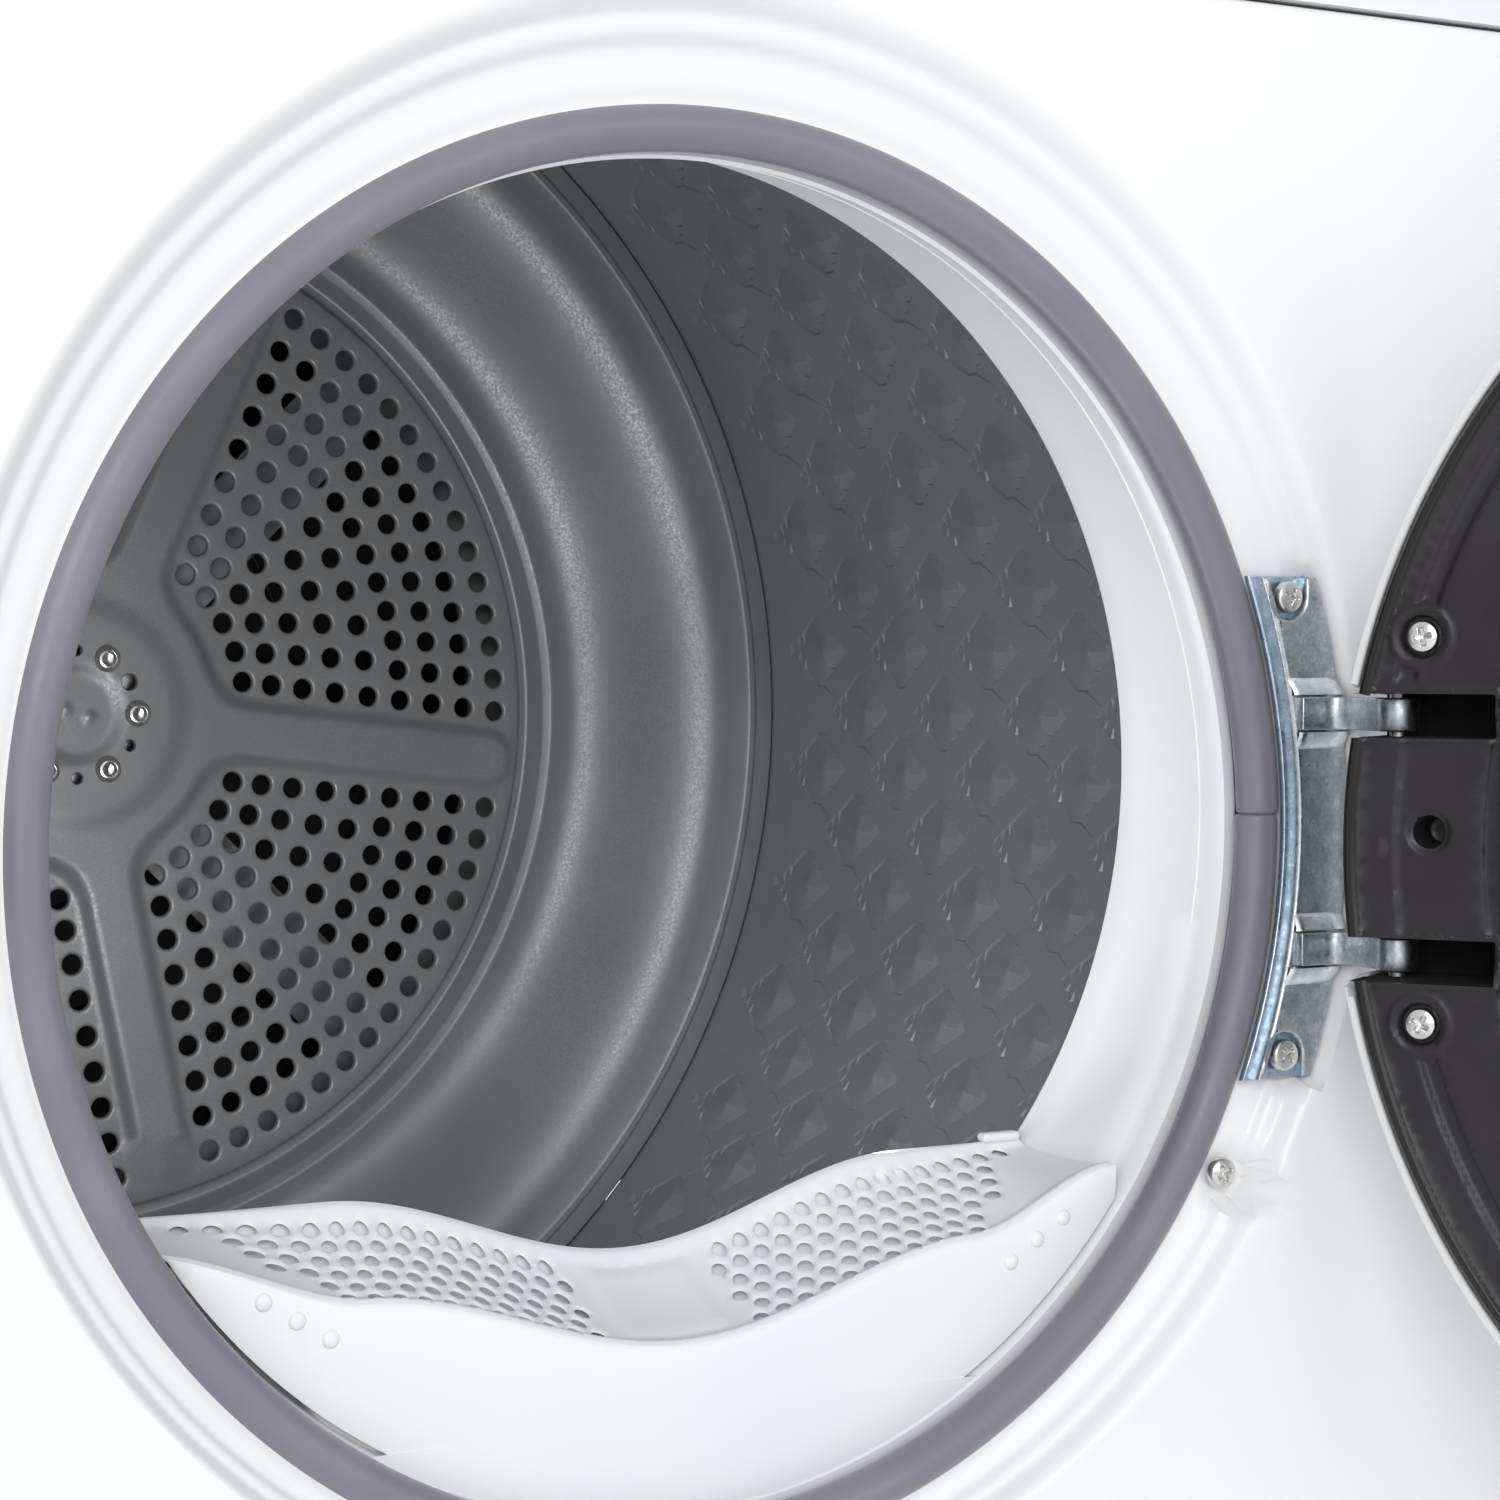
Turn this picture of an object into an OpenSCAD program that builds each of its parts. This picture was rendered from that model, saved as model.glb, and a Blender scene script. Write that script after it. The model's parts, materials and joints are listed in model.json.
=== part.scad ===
// Free-standing front-loading clothes dryer, drawn with its door open.
// +Z is up, the front faces -Y and +X is the machine's right seen from the front.
// The origin is the centre of the cabinet's underside; the feet reach below it.

/* [Cabinet] */
// Width over the side panels
cab_w = 595; // [590:1:600]
// Height from the underside of the base to the worktop
cab_h = 830; // [825:1:835]
// Distance from the origin to the flat front panel
front_d = 295; // [294:0.5:296]
// Distance from the origin to the outside of the rear panel
rear_d = 223; // [222:0.5:226]
// Height of the levelling feet
foot_h = 15; // [8:1:25]
// Thickness of the sheet-metal panels
sheet = 1.5; // [1:0.1:1.8]

/* [Drum] */
// Inner radius of the drum wall
drum_r = 287.5; // [286:0.5:288]
// Height of the drum axis above the underside of the base
axis_z = 510; // [508:0.5:511]
// Y of the perforated plane of the drum's back plate
back_y = 197; // [196:0.5:198]
// Inward depth of the curved skirt round the back plate
skirt_d = 42; // [38:1:46]
// Radius of the air holes in the back plate
air_hole_r = 4; // [3.5:0.1:4.4]

/* [Door] */
// Angle that the door stands open, from closed
door_open = 122; // [0:1:122]
// X of the hinge pins
hinge_x = 205; // [204:0.5:206]
// Distance of the hinge pins in front of the flat front panel
hinge_reach = 23; // [22.5:0.5:24]
// Outer radius of the door's dark inner frame
door_r = 214.5; // [213:0.5:215]
// Door centre below the drum axis
door_drop = 30; // [29:0.5:31]

/* [Opening] */
// Opening and hinge centre below the drum axis
mouth_drop = 25; // [24:0.5:26]
// Inner radius of the door seal
seal_r = 179; // [178:0.5:180]
// Radius of the recess pressed in the front panel
recess_r = 212.5; // [211:0.5:213]
// Recess centre below the drum axis
recess_drop = 16; // [15:0.5:17]

/* [Hidden] */
$fn = 96;

gap = 0.3;                                  // gap between neighbouring pieces
running = 0.06;                             // radial clearance of a running fit
half_w = cab_w / 2;
front_y = -front_d;
drum_t = 1.5;                               // thickness of the drum's metal
mouth_y = -234;                             // front end of the drum wall
neck_r = 250;                               // inner radius of the drum's front neck
neck_end_y = -257;
mouth_z = axis_z - mouth_drop;
recess_z = axis_z - recess_drop;
door_z = axis_z - door_drop;
hinge_y = front_y - hinge_reach;
arm_z = [mouth_z + 31.5, mouth_z - 36.5];   // heights of the two hinge arms
arm_h = 9.5;
arm_t = 3;
eye_r = 6;
pin_r = 2.5;
door_in_y = front_y - 2.5;                  // inner face of the closed door
door_out_y = front_y - 45;                  // outer face of the closed door's ring
ring_r = door_r + 5;
plug_r = 168;                               // raised plug inside the door
window_r = 148;

fascia_low = 719;
fascia_top = 805;
control_z = 762;
knob_x = -20;
knob_r = 27;
power_x = -105;
start_x = 250;
option_x = [188, 214];
display_x = [56, 164];
display_z = [744, 784];
tank_x = [-287, -172];
tank_z = [725, 798];

kick_top = 226;
kick_pivot = [front_y + 9, 20];             // Y and Z of the kick panel's pins
duct_x = [-262, -10];
duct_z = [8, 200];
duct_end = 100;                             // Y of the duct's rear wall, clear of the belt
motor_x = 120;
motor_z = 105;
motor_shaft_r = 6;
pulley_r = 9;
belt_y = 115;
belt_w = 8;
belt_t = 2;
idler_at = [30, 135];
idler_r = 18;
arm_pivot = [75, 60];
roller_r = 20;
roller_lean = 32;                           // angle of each front roller from straight down
filter_dip = 20;

white = [0.93, 0.94, 0.95];
dark = [0.2, 0.19, 0.21];
steel = [0.66, 0.68, 0.7];

// ---------- shared shapes ----------

// Turns a shape drawn along Z so that it runs along +Y, about a line at height z
module along_y(z = 0, x = 0) translate([x, 0, z]) rotate([-90, 0, 0]) children();

// Ring from y0 to y1 about a line along Y
module ring(r_out, r_in, y0, y1, z = 0, x = 0)
    along_y(z, x) translate([0, 0, y0]) difference() {
        cylinder(h = y1 - y0, r = r_out);
        translate([0, 0, -1]) cylinder(h = y1 - y0 + 2, r = r_in);
    }

// Solid bar from y0 to y1 about a line along Y
module bar(r, y0, y1, z = 0, x = 0) along_y(z, x) translate([0, 0, y0]) cylinder(h = y1 - y0, r = r);

// Box between two corners
module block(low, high) translate(low) cube(high - low);

// Flat shape in X and Z, made solid from y0 to y1
module plate(y0, y1) translate([0, y1, 0]) rotate([90, 0, 0]) linear_extrude(y1 - y0) children();

// Places a piece drawn on the closed door where the open door holds it
module on_door() translate([hinge_x, hinge_y, 0]) rotate([0, 0, door_open])
    translate([-hinge_x, -hinge_y, 0]) children();

// Box with a wall all round, open at the top
module open_tray(low, high, wall, floor_t) difference() {
    block(low, high);
    block(low + [wall, wall, floor_t], high + [-wall, -wall, 1]);
}

module rounded_rect(w, d, r) {
    square([w - 2 * r, d], center = true);
    square([w, d - 2 * r], center = true);
    for (x = [-1, 1], y = [-1, 1]) translate([x * (w / 2 - r), y * (d / 2 - r)]) circle(r = r);
}

// Skewed cone between two eccentric circles: radius, height and Y of each end
module skew_cone(r0, z0, y0, r1, z1, y1) hull() {
    bar(r0, y0, y0 + 0.1, z0);
    bar(r1, y1, y1 + 0.1, z1);
}

// ---------- casing ----------

foot_at = [for (x = [-1, 1], y = [-240, 185]) [x * 255, y]];

module base_tray() color([0.16, 0.16, 0.17]) difference() {
    union() {
        open_tray([-294, front_y + 19, 0], [294, rear_d - 5, 108], 3, 4);
        // channel that carries the air past the heat exchangers
        block([duct_x[0] - 3, front_y + 22, 4], [duct_x[0], duct_end, duct_z[1]]);
        block([duct_x[1], front_y + 22, 4], [duct_x[1] + 3, duct_end, duct_z[1]]);
        block([duct_x[0] - 3, duct_end - 3, 4], [duct_x[1] + 3, duct_end, 60]);
        block([duct_x[0] - 3, front_y + 22, duct_z[1]], [duct_x[1] + 3, duct_end, duct_z[1] + 3]);
        for (p = foot_at) translate([p.x, p.y, 0]) cylinder(h = 24, r = 12);
        for (x = [-1, 1]) {
            block([x * 280 - 3, kick_pivot[0], kick_pivot[1] - 5.6],
                  [x * 280 + 3, front_y + 20, kick_pivot[1] + 5.6]);
            translate([x * 280 - 3, kick_pivot[0], kick_pivot[1]]) rotate([0, 90, 0])
                cylinder(h = 6, r = 5.6);
            translate([x * 280, kick_pivot[0], kick_pivot[1]]) rotate([0, x * 90, 0])
                cylinder(h = 9, r = 3);
        }
        // post for the belt tensioner, and the motor's two cradles
        block([arm_pivot[0] - 8, 134, 4], [arm_pivot[0] + 8, 146, arm_pivot[1] + 8]);
        bar(4, 119, 134, arm_pivot[1], arm_pivot[0]);
        for (y = [0, 78]) block([motor_x - 45, y, 4], [motor_x + 45, y + 10, motor_z - 20]);
        for (x = [-200, -80], y = [-250, -40]) block([x, y, 4], [x + 3, y + 90, 15]);
    }
    for (p = foot_at) translate([p.x, p.y, -1]) cylinder(h = 30, r = 5 + running);
    bar(53.3, -1, 89, motor_z, motor_x);
    block([duct_x[0], front_y + 18, duct_z[0] + 8], [duct_x[1], front_y + 24, duct_z[1]]);
}

module feet() color([0.1, 0.1, 0.1]) for (p = foot_at) translate([p.x, p.y, 0]) {
    translate([0, 0, -foot_h]) cylinder(h = 6, r = 20);
    translate([0, 0, 6 - foot_h]) cylinder(h = 4, r = 9, $fn = 6);
    translate([0, 0, 6 - foot_h]) cylinder(h = foot_h + 12, r = 5);
}

// One side panel; side is -1 for the left and 1 for the right
module side_panel(side) color(white) {
    x0 = side * half_w;
    x1 = side * (half_w - sheet);
    lip = side * (half_w - 14);
    block([min(x0, x1), front_y + 2, 8], [max(x0, x1), rear_d - 3, fascia_low - gap]);
    block([min(x0, x1), front_y + 30 + gap, fascia_low - 1], [max(x0, x1), rear_d - 3, fascia_top]);
    block([min(x0, lip), front_y + 2, 228], [max(x0, lip), front_y + 2 + sheet, fascia_low - 2]);
    block([min(x0, lip), rear_d - 3 - sheet, 112], [max(x0, lip), rear_d - 3, fascia_top]);
}
module side_panel_left() side_panel(-1);
module side_panel_right() side_panel(1);

module rear_panel() color(steel) difference() {
    union() {
        difference() {
            block([-half_w, rear_d - sheet, 2], [half_w, rear_d, fascia_top]);
            bar(180, rear_d - 5, rear_d + 1, axis_z);
            block([-190, rear_d - 5, 50], [-50, rear_d + 1, 150]);
        }
        for (a = [45, 135]) along_y(axis_z) rotate([0, 0, a])
            translate([-184, -16, rear_d - sheet]) cube([368, 32, sheet]);
        bar(42, rear_d - sheet, rear_d + 8, axis_z);
        ring(216, 213.5, rear_d - 14, rear_d - sheet, axis_z);
    }
    bar(22 + running, rear_d - 5, rear_d + 20, axis_z);
    for (z = [300, 340, 380]) block([215, rear_d - 5, z], [270, rear_d + 1, z + 8]);
}

module rear_duct_outline(grow) {
    translate([0, axis_z]) circle(r = 204 + grow);
    translate([-204 - grow, 42 - grow]) square([168 + 2 * grow, 470]);
}
module rear_duct_cover() color(steel) {
    difference() {
        plate(rear_d + gap, 292) rear_duct_outline(0);
        plate(rear_d - 1, 290) rear_duct_outline(-2);
    }
    difference() {
        plate(rear_d + gap, rear_d + gap + sheet) rear_duct_outline(10);
        plate(rear_d - 1, rear_d + 10) rear_duct_outline(-1);
    }
}

module top_panel() color(white) difference() {
    translate([0, (rear_d + 1 - front_d - 3) / 2, fascia_top + 1])
        linear_extrude(cab_h - fascia_top - 1) rounded_rect(cab_w, rear_d + front_d + 4, 10);
    block([5 - half_w, front_y + 2, fascia_top], [half_w - 5, rear_d - 4, cab_h - 6]);
}

module front_panel() color(white) difference() {
    union() {
        difference() {
            union() {
                difference() {
                    block([-half_w, front_y, 230], [half_w, front_y + sheet, fascia_low - 1]);
                    bar(recess_r, front_y - 1, front_y + 5, recess_z);
                }
                difference() {
                    skew_cone(recess_r + 1, recess_z, front_y, 200, mouth_z, front_y + 13);
                    skew_cone(recess_r - 0.5, recess_z, front_y - 0.2, 198, mouth_z, front_y + 13.2);
                }
            }
            plate(front_y - 1, front_y + 10.2) bracket_field(187, 212.6, -75.5, 72.5);
            bar(5.2, front_y - 1, front_y + 11.9, panel_screw_at[1], panel_screw_at[0]);
        }
        // flat seat under the hinge bracket, with a wall round its outer side
        plate(front_y + 10.2, front_y + 12.5) bracket_field(193, 214.5, -76, 73);
        plate(front_y + 0.2, front_y + 12.5) bracket_field(212.6, 214.5, -76, 73);
        ring(199, seal_r + 14, front_y + 12, front_y + 12 + sheet, mouth_z);
        for (z = [230, fascia_low - 1 - sheet])
            block([-280, front_y, z], [280, front_y + 12, z + sheet]);
    }
    // slot for the latch hook and the holes of the hinge and panel screws
    block([-211, front_y - 3, mouth_z - 14], [-195.5, front_y + 16, mouth_z + 14]);
    for (p = concat(bracket_screw_at, [panel_screw_at])) bar(2.2, front_y - 3, front_y + 18, p[1], p[0]);
}

// ---------- controls ----------

module control_fascia() color(white) difference() {
    block([-half_w, front_y - 2, fascia_low], [half_w, front_y + 30, fascia_top]);
    block([3 - half_w, front_y + 1, fascia_low + 3], [half_w - 3, front_y + 31, fascia_top - 3]);
    block([-290, front_y - 3, 722.5], [-165, front_y + 5, 801]);
    block([display_x[0], front_y - 3, display_z[0]], [display_x[1], front_y + 5, display_z[1]]);
    bar(4 + running, front_y - 3, front_y + 5, control_z, knob_x);
    bar(9.4, front_y - 3, front_y + 5, control_z, power_x);
    bar(13.4, front_y - 3, front_y + 5, control_z, start_x);
    for (x = option_x) bar(7.4, front_y - 3, front_y + 5, control_z, x);
}

module program_knob() color([0.8, 0.81, 0.83]) difference() {
    union() {
        bar(4, front_y - 4, front_y + 9, control_z, knob_x);
        bar(knob_r, front_y - 22, front_y - 2.4, control_z, knob_x);
    }
    translate([knob_x - 1, front_y - 23, control_z + 12]) cube([2, 1.8, 12]);
}

module display_window() color([0.05, 0.05, 0.06])
    block([display_x[0] + gap, front_y - 1.8, display_z[0] + gap],
          [display_x[1] - gap, front_y + 0.8, display_z[1] - gap]);

module control_board() color([0.1, 0.4, 0.2]) {
    block([-125, front_y + 13, 732], [275, front_y + 14.6, 792]);
    block([display_x[0] + 4, front_y + 3, display_z[0] + 4],
          [display_x[1] - 4, front_y + 13, display_z[1] - 4]);
    for (x = concat([power_x, start_x], option_x)) bar(3, front_y + 11.2, front_y + 13, control_z, x);
    block([knob_x - 8, front_y + 9.4, control_z - 8], [knob_x + 8, front_y + 13, control_z + 8]);
    for (x = [-90, -55, 10]) block([x, front_y + 14.6, 740], [x + 22, front_y + 24, 765]);
}

// Push button with a collar that keeps it in the fascia
module push_button(x, r) color([0.85, 0.86, 0.88]) {
    bar(r, front_y - 4, front_y + 8.5, control_z, x);
    bar(r + 1.4, front_y + 1.4, front_y + 3.4, control_z, x);
}
module power_button() push_button(power_x, 9);
module start_button() push_button(start_x, 13);
module option_button_1() push_button(option_x[0], 7);
module option_button_2() push_button(option_x[1], 7);

// ---------- water tank ----------

module tank_front() color(white) difference() {
    block([-289.5, front_y - 5, 723], [-165.5, front_y + 1, 800.5]);
    translate([-260, front_y - 6, 728]) cube([66, 3.5, 15]);
}

// Outline of the tank, cut off where the drum passes below it
module tank_outline(shrink) polygon([
    [tank_x[0] + shrink, tank_z[0] + shrink], [-205 - shrink * 0.5, tank_z[0] + shrink],
    [tank_x[1] - shrink, 751 + shrink * 0.5], [tank_x[1] - shrink, tank_z[1] - shrink],
    [tank_x[0] + shrink, tank_z[1] - shrink]]);
module water_tank() color([0.85, 0.88, 0.9]) difference() {
    plate(front_y + 1.3, 180) tank_outline(0);
    plate(front_y + 4, 177.5) tank_outline(2.5);
    translate([-230, 150, 780]) cylinder(h = 30, r = 11);
    translate([-230, -230, 780]) cylinder(h = 30, r = 14);
}

module tank_tray() color([0.5, 0.52, 0.54]) {
    block([-293, front_y + 32, 721], [-206, 190, 722.5]);
    block([-293, front_y + 32, 722.5], [-291.5, 190, 760]);
    block([-293, 184, 722.5], [-206, 186, 750]);
}

// ---------- heat pump and lower front ----------

module kick_panel() color(white) difference() {
    union() {
        block([-292, front_y, 12], [292, front_y + 3, kick_top]);
        for (x = [-292, 289]) block([x, front_y, 12], [x + 3, front_y + 9, kick_top]);
        block([-292, front_y, kick_top - 3], [292, front_y + 9, kick_top]);
        for (x = [-287.5, 283.5]) translate([x, kick_pivot[0], kick_pivot[1]]) rotate([0, 90, 0])
            cylinder(h = 4, r = 7);
        for (x = [-287.5, 283.5]) block([x, front_y + 2, 13], [x + 4, kick_pivot[0], 27]);
    }
    for (x = [-293, 283]) translate([x, kick_pivot[0], kick_pivot[1]]) rotate([0, 90, 0])
        cylinder(h = 10, r = 3 + running);
    for (i = [0:8]) block([40 + i * 24, front_y - 1, 60], [46 + i * 24, front_y + 4, 180]);
    block([-60, front_y - 1, kick_top - 9], [60, front_y + 1.2, kick_top + 1]);
}

module exchanger_cover() color([0.3, 0.31, 0.33]) {
    block([duct_x[0] + 2, front_y + 14, 18], [duct_x[1] - 2, front_y + 18.5, 196]);
    block([duct_x[0] + 12, front_y + 18.5, 28], [duct_x[1] - 12, front_y + 26, 186]);
    for (x = [-238, -34]) bar(4, front_y + 6, front_y + 15, 170, x);
}

module cover_lever(x, side) color([0.1, 0.35, 0.65]) difference() {
    union() {
        bar(9, front_y + 7, front_y + 13.6, 170, x);
        block([x - 5, front_y + 8, 122], [x + 5, front_y + 13, 170]);
    }
    bar(4 + running, front_y + 5, front_y + 16, 170, x);
}
module cover_lever_left() cover_lever(-238, 1);
module cover_lever_right() cover_lever(-34, -1);

// Finned heat exchanger between y0 and y1
module coil(y0, y1) {
    for (i = [0:19]) block([-250 + i * 12, y0, 26], [-248.5 + i * 12, y1, 188]);
    for (y = [y0 + 18 : 22 : y1 - 10], z = [38 : 26 : 176])
        translate([-256, y, z]) rotate([0, 90, 0]) cylinder(h = 240, r = 4);
}
module evaporator_coil() color([0.75, 0.76, 0.78]) coil(-255, -150);
module condenser_coil() color([0.78, 0.66, 0.55]) coil(-135, 30);

module compressor() color([0.08, 0.08, 0.09]) translate([205, -172, 0]) {
    for (a = [30, 150, 270]) rotate([0, 0, a]) translate([60, 0, 4.3]) cylinder(h = 16, r = 10);
    translate([0, 0, 20]) cylinder(h = 6, r = 68);
    translate([0, 0, 26]) rotate_extrude() polygon([
        [0, 0], [50, 0], [58, 8], [58, 140], [54, 156], [40, 168], [20, 173], [0, 174]]);
    translate([0, 0, 196]) cylinder(h = 14, r = 5);
}

module drain_pump() color([0.12, 0.12, 0.13]) {
    translate([-205, 186, 4.3]) cylinder(h = 36, r = 22);
    translate([-205, 186, 40]) cylinder(h = 26, r = 15);
    translate([-205, 186, 50]) rotate([0, 90, 0]) cylinder(h = 40, r = 6);
}

// ---------- drive ----------

module drive_motor() color(steel) difference() {
    union() {
        bar(53, -18, 102, motor_z, motor_x);
        bar(24, -24, 106, motor_z, motor_x);
    }
    bar(motor_shaft_r + running, -30, 110, motor_z, motor_x);
}

module motor_pulley() color([0.7, 0.7, 0.72]) {
    bar(motor_shaft_r, -78, 124, motor_z, motor_x);
    bar(pulley_r, 109, 121, motor_z, motor_x);
    for (y = [108, 121]) bar(pulley_r + 4, y, y + 1.5, motor_z, motor_x);
}

module belt_loop(grow) hull() {
    translate([0, axis_z]) circle(r = drum_r + drum_t + gap + grow, $fn = 128);
    translate([motor_x, motor_z]) circle(r = pulley_r + gap + grow, $fn = 48);
    translate(idler_at) circle(r = idler_r + gap + grow, $fn = 64);
}
module drive_belt() color([0.06, 0.06, 0.06]) plate(belt_y - belt_w / 2, belt_y + belt_w / 2)
    difference() {
        belt_loop(belt_t);
        belt_loop(0);
    }

module idler_arm() color(steel) difference() {
    union() {
        plate(121, 125.5) {
            translate(arm_pivot) circle(r = 9);
            translate(idler_at) circle(r = 8);
            translate(arm_pivot) rotate(atan2(idler_at[1] - arm_pivot[1], idler_at[0] - arm_pivot[0]))
                translate([0, -6]) square([norm(idler_at - arm_pivot), 12]);
        }
        bar(4, 108, 122, idler_at[1], idler_at[0]);
    }
    bar(4 + running, 100, 130, arm_pivot[1], arm_pivot[0]);
}
module idler_pulley() color([0.15, 0.15, 0.16]) difference() {
    union() {
        bar(idler_r, 110, 120, idler_at[1], idler_at[0]);
        for (y = [109, 120]) bar(idler_r + 2.2, y, y + 0.8, idler_at[1], idler_at[0]);
    }
    bar(4 + running, 100, 130, idler_at[1], idler_at[0]);
}
module idler_spring() color(steel) along_y(arm_pivot[1], arm_pivot[0])
    for (i = [0:3]) translate([0, 0, 127.5 + i * 1.5])
        rotate_extrude() translate([6, 0]) circle(r = 0.8, $fn = 24);

module fan_wheel() color([0.2, 0.2, 0.21]) difference() {
    union() {
        bar(68, -36, -34, motor_z, motor_x);
        bar(14, -62, -34, motor_z, motor_x);
        for (i = [0:23]) along_y(motor_z, motor_x) rotate([0, 0, i * 15])
            translate([54, -1, -74]) rotate([0, 0, 25]) cube([15, 2, 39]);
        ring(71, 52, -75.5, -74, motor_z, motor_x);
    }
    bar(motor_shaft_r, -80, -20, motor_z, motor_x);
}

module fan_housing() color([0.17, 0.17, 0.18]) difference() {
    union() {
        bar(86, -82, -26, motor_z, motor_x);
        block([motor_x - 96, -82, motor_z], [motor_x - 30, -26, 185]);
    }
    bar(78, -79.5, -28.5, motor_z, motor_x);
    bar(45, -84, -70, motor_z, motor_x);
    bar(26, -40, -20, motor_z, motor_x);
    block([motor_x - 93, -79.5, motor_z + 10], [motor_x - 40, -28.5, 186]);
    block([motor_x - 100, -100, -10], [motor_x + 100, 0, 4.4]);
}

// ---------- drum ----------

module drum_shell() color([0.36, 0.38, 0.39]) along_y(axis_z) rotate_extrude($fn = 180) polygon([
    [drum_r, back_y - skirt_d + 4], [drum_r + drum_t, back_y - skirt_d + 4],
    [drum_r + drum_t, mouth_y - 2], [neck_r + drum_t, mouth_y - 7], [neck_r + drum_t, neck_end_y],
    [neck_r, neck_end_y], [neck_r, mouth_y - 5.6], [drum_r, mouth_y - 0.6]]);

// Half-angle that the holes on an arc of radius r spread either side of their sector's middle
function arc_spread(r) = 36 - asin(19.7 / r);
function arc_radius(i) = i < 3 ? [70.8, 82.7, 95.7][i] : 109.6 + (i - 3) * 14.08;
function arc_count(i) = i < 5 ? 5 + i : 7 + i;
spoke_turn = -6.5;

module air_holes() for (s = [0:4], i = [0:8]) {
    r = arc_radius(i);
    n = arc_count(i);
    for (k = [0 : n - 1]) {
        a = 36 + spoke_turn + s * 72 + arc_spread(r) * (2 * k / (n - 1) - 1);
        translate([r * cos(a), r * sin(a)]) circle(r = air_hole_r, $fn = 24);
    }
}

// Raised star of five spokes round the hub
module star() {
    circle(r = 60);
    for (s = [0:4]) rotate([0, 0, spoke_turn + s * 72]) {
        translate([0, -8.3]) square([176, 16.6]);
        translate([176, 0]) circle(r = 8.3);
    }
}

module drum_back_plate() color([0.5, 0.52, 0.53]) difference() {
    union() {
        // drawn seen from the front, so that the sectors stay the right way round
        plate(back_y, back_y + drum_t) translate([0, axis_z]) difference() {
            circle(r = 191.5);
            air_holes();
        }
        plate(back_y - 3.5, back_y) translate([0, axis_z]) star();
        bar(40, back_y - 6.5, back_y - 3.5, axis_z);
        along_y(axis_z) rotate_extrude($fn = 180) polygon([
            [190, back_y], [191.5, back_y + 5], [197, back_y + 5], [200, back_y - 3],
            [204, back_y - 5], [208, back_y - 3.6], [220, back_y - 12], [240, back_y - 26],
            [258, back_y - 36], [271, back_y - skirt_d], [drum_r - gap, back_y - skirt_d],
            [drum_r - gap, back_y - skirt_d + 5], [drum_r - 2, back_y - skirt_d + 5],
            [drum_r - 2, back_y - skirt_d + drum_t], [272, back_y - skirt_d + drum_t],
            [258, back_y - 34], [240, back_y - 24], [220, back_y - 10], [208, back_y - 1.8],
            [204, back_y - 3], [201.5, back_y - 1.5], [198, back_y + 6.5], [190, back_y + 6.5],
            [188.5, back_y + drum_t]]);
    }
    for (a = [0:60:300]) along_y(axis_z) rotate([0, 0, a]) translate([24.4, 0, back_y - 10])
        cylinder(h = 20, r = 2.5 + running);
    bar(17, back_y - 7, back_y - 4.5, axis_z);
}

module drum_shaft() color(steel) difference() {
    union() {
        bar(45, back_y + drum_t, back_y + 6, axis_z);
        bar(20, back_y + 6, back_y + 14, axis_z);
        bar(12.5, back_y + 6, rear_d + 22, axis_z);
    }
    for (a = [0:60:300]) along_y(axis_z) rotate([0, 0, a]) translate([24.4, 0, back_y])
        cylinder(h = 20, r = 2.5 + running);
}

module hub_screws() color([0.75, 0.76, 0.77])
    for (a = [0:60:300]) along_y(axis_z) rotate([0, 0, a]) translate([24.4, 0, back_y - 10]) {
        difference() {
            cylinder(h = 3.5, r = 5.2);
            translate([0, 0, -1]) cylinder(h = 3, r = 2.2, $fn = 6);
        }
        translate([0, 0, 3.5]) cylinder(h = 12, r = 2.5);
    }

// Three hollow paddles that lift the clothes
module drum_lifters() color([0.42, 0.44, 0.46])
    for (a = [60, 180, 300]) along_y(axis_z) rotate([0, 0, a]) translate([0, 0, -205])
        linear_extrude(340) difference() {
            polygon([[drum_r - 3.5, -32], [drum_r - 14, -24], [drum_r - 44, -10], [drum_r - 49, 0],
                     [drum_r - 44, 10], [drum_r - 14, 24], [drum_r - 3.5, 32]]);
            polygon([[drum_r + 1, -26], [drum_r - 14, -20], [drum_r - 42, -7], [drum_r - 46, 0],
                     [drum_r - 42, 7], [drum_r - 14, 20], [drum_r + 1, 26]]);
        }

module rear_bearing() color([0.72, 0.73, 0.75]) {
    ring(22, 12.5 + running, rear_d - 1, rear_d + 17, axis_z);
    ring(28, 21, rear_d + 8.3, rear_d + 12, axis_z);
}

module rear_felt_seal() color([0.85, 0.83, 0.78]) ring(213.2, 203, back_y + 7, rear_d - sheet, axis_z);

// ---------- front of the drum ----------

throat_rear = [171.2, axis_z - 9.6, mouth_y];
throat_front = [178.2, mouth_z, front_y + 24];
pocket_x = 110;
pocket_y = [-269, -241];
pocket_z = axis_z - 206;

module throat_solid(grow, over) skew_cone(
    throat_rear[0] + grow, throat_rear[1], throat_rear[2] + over,
    throat_front[0] + grow, throat_front[1], throat_front[2] - over);

module front_shield() color(white) difference() {
    union() {
        throat_solid(2.5, 0);
        ring(284, 172, -262.5, -260, axis_z);
        ring(246, 243, -261, -240, axis_z);
        block([-pocket_x - 2.5, pocket_y[0] - 2.5, pocket_z - 2.5],
              [pocket_x + 2.5, pocket_y[1] + 2.5, axis_z - 150]);
    }
    throat_solid(0, 0.5);
    block([-pocket_x, pocket_y[0], pocket_z], [pocket_x, pocket_y[1], axis_z - 120]);
    block([-pocket_x + 15, -266, pocket_z - 10], [pocket_x - 15, -246, pocket_z + 1]);
    for (x = [-1, 1]) bar(5 + running, -270, -255, roller_at(x)[1], roller_at(x)[0]);
    block([-232, -270, 470], [-190, -250, 500]);
}

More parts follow.
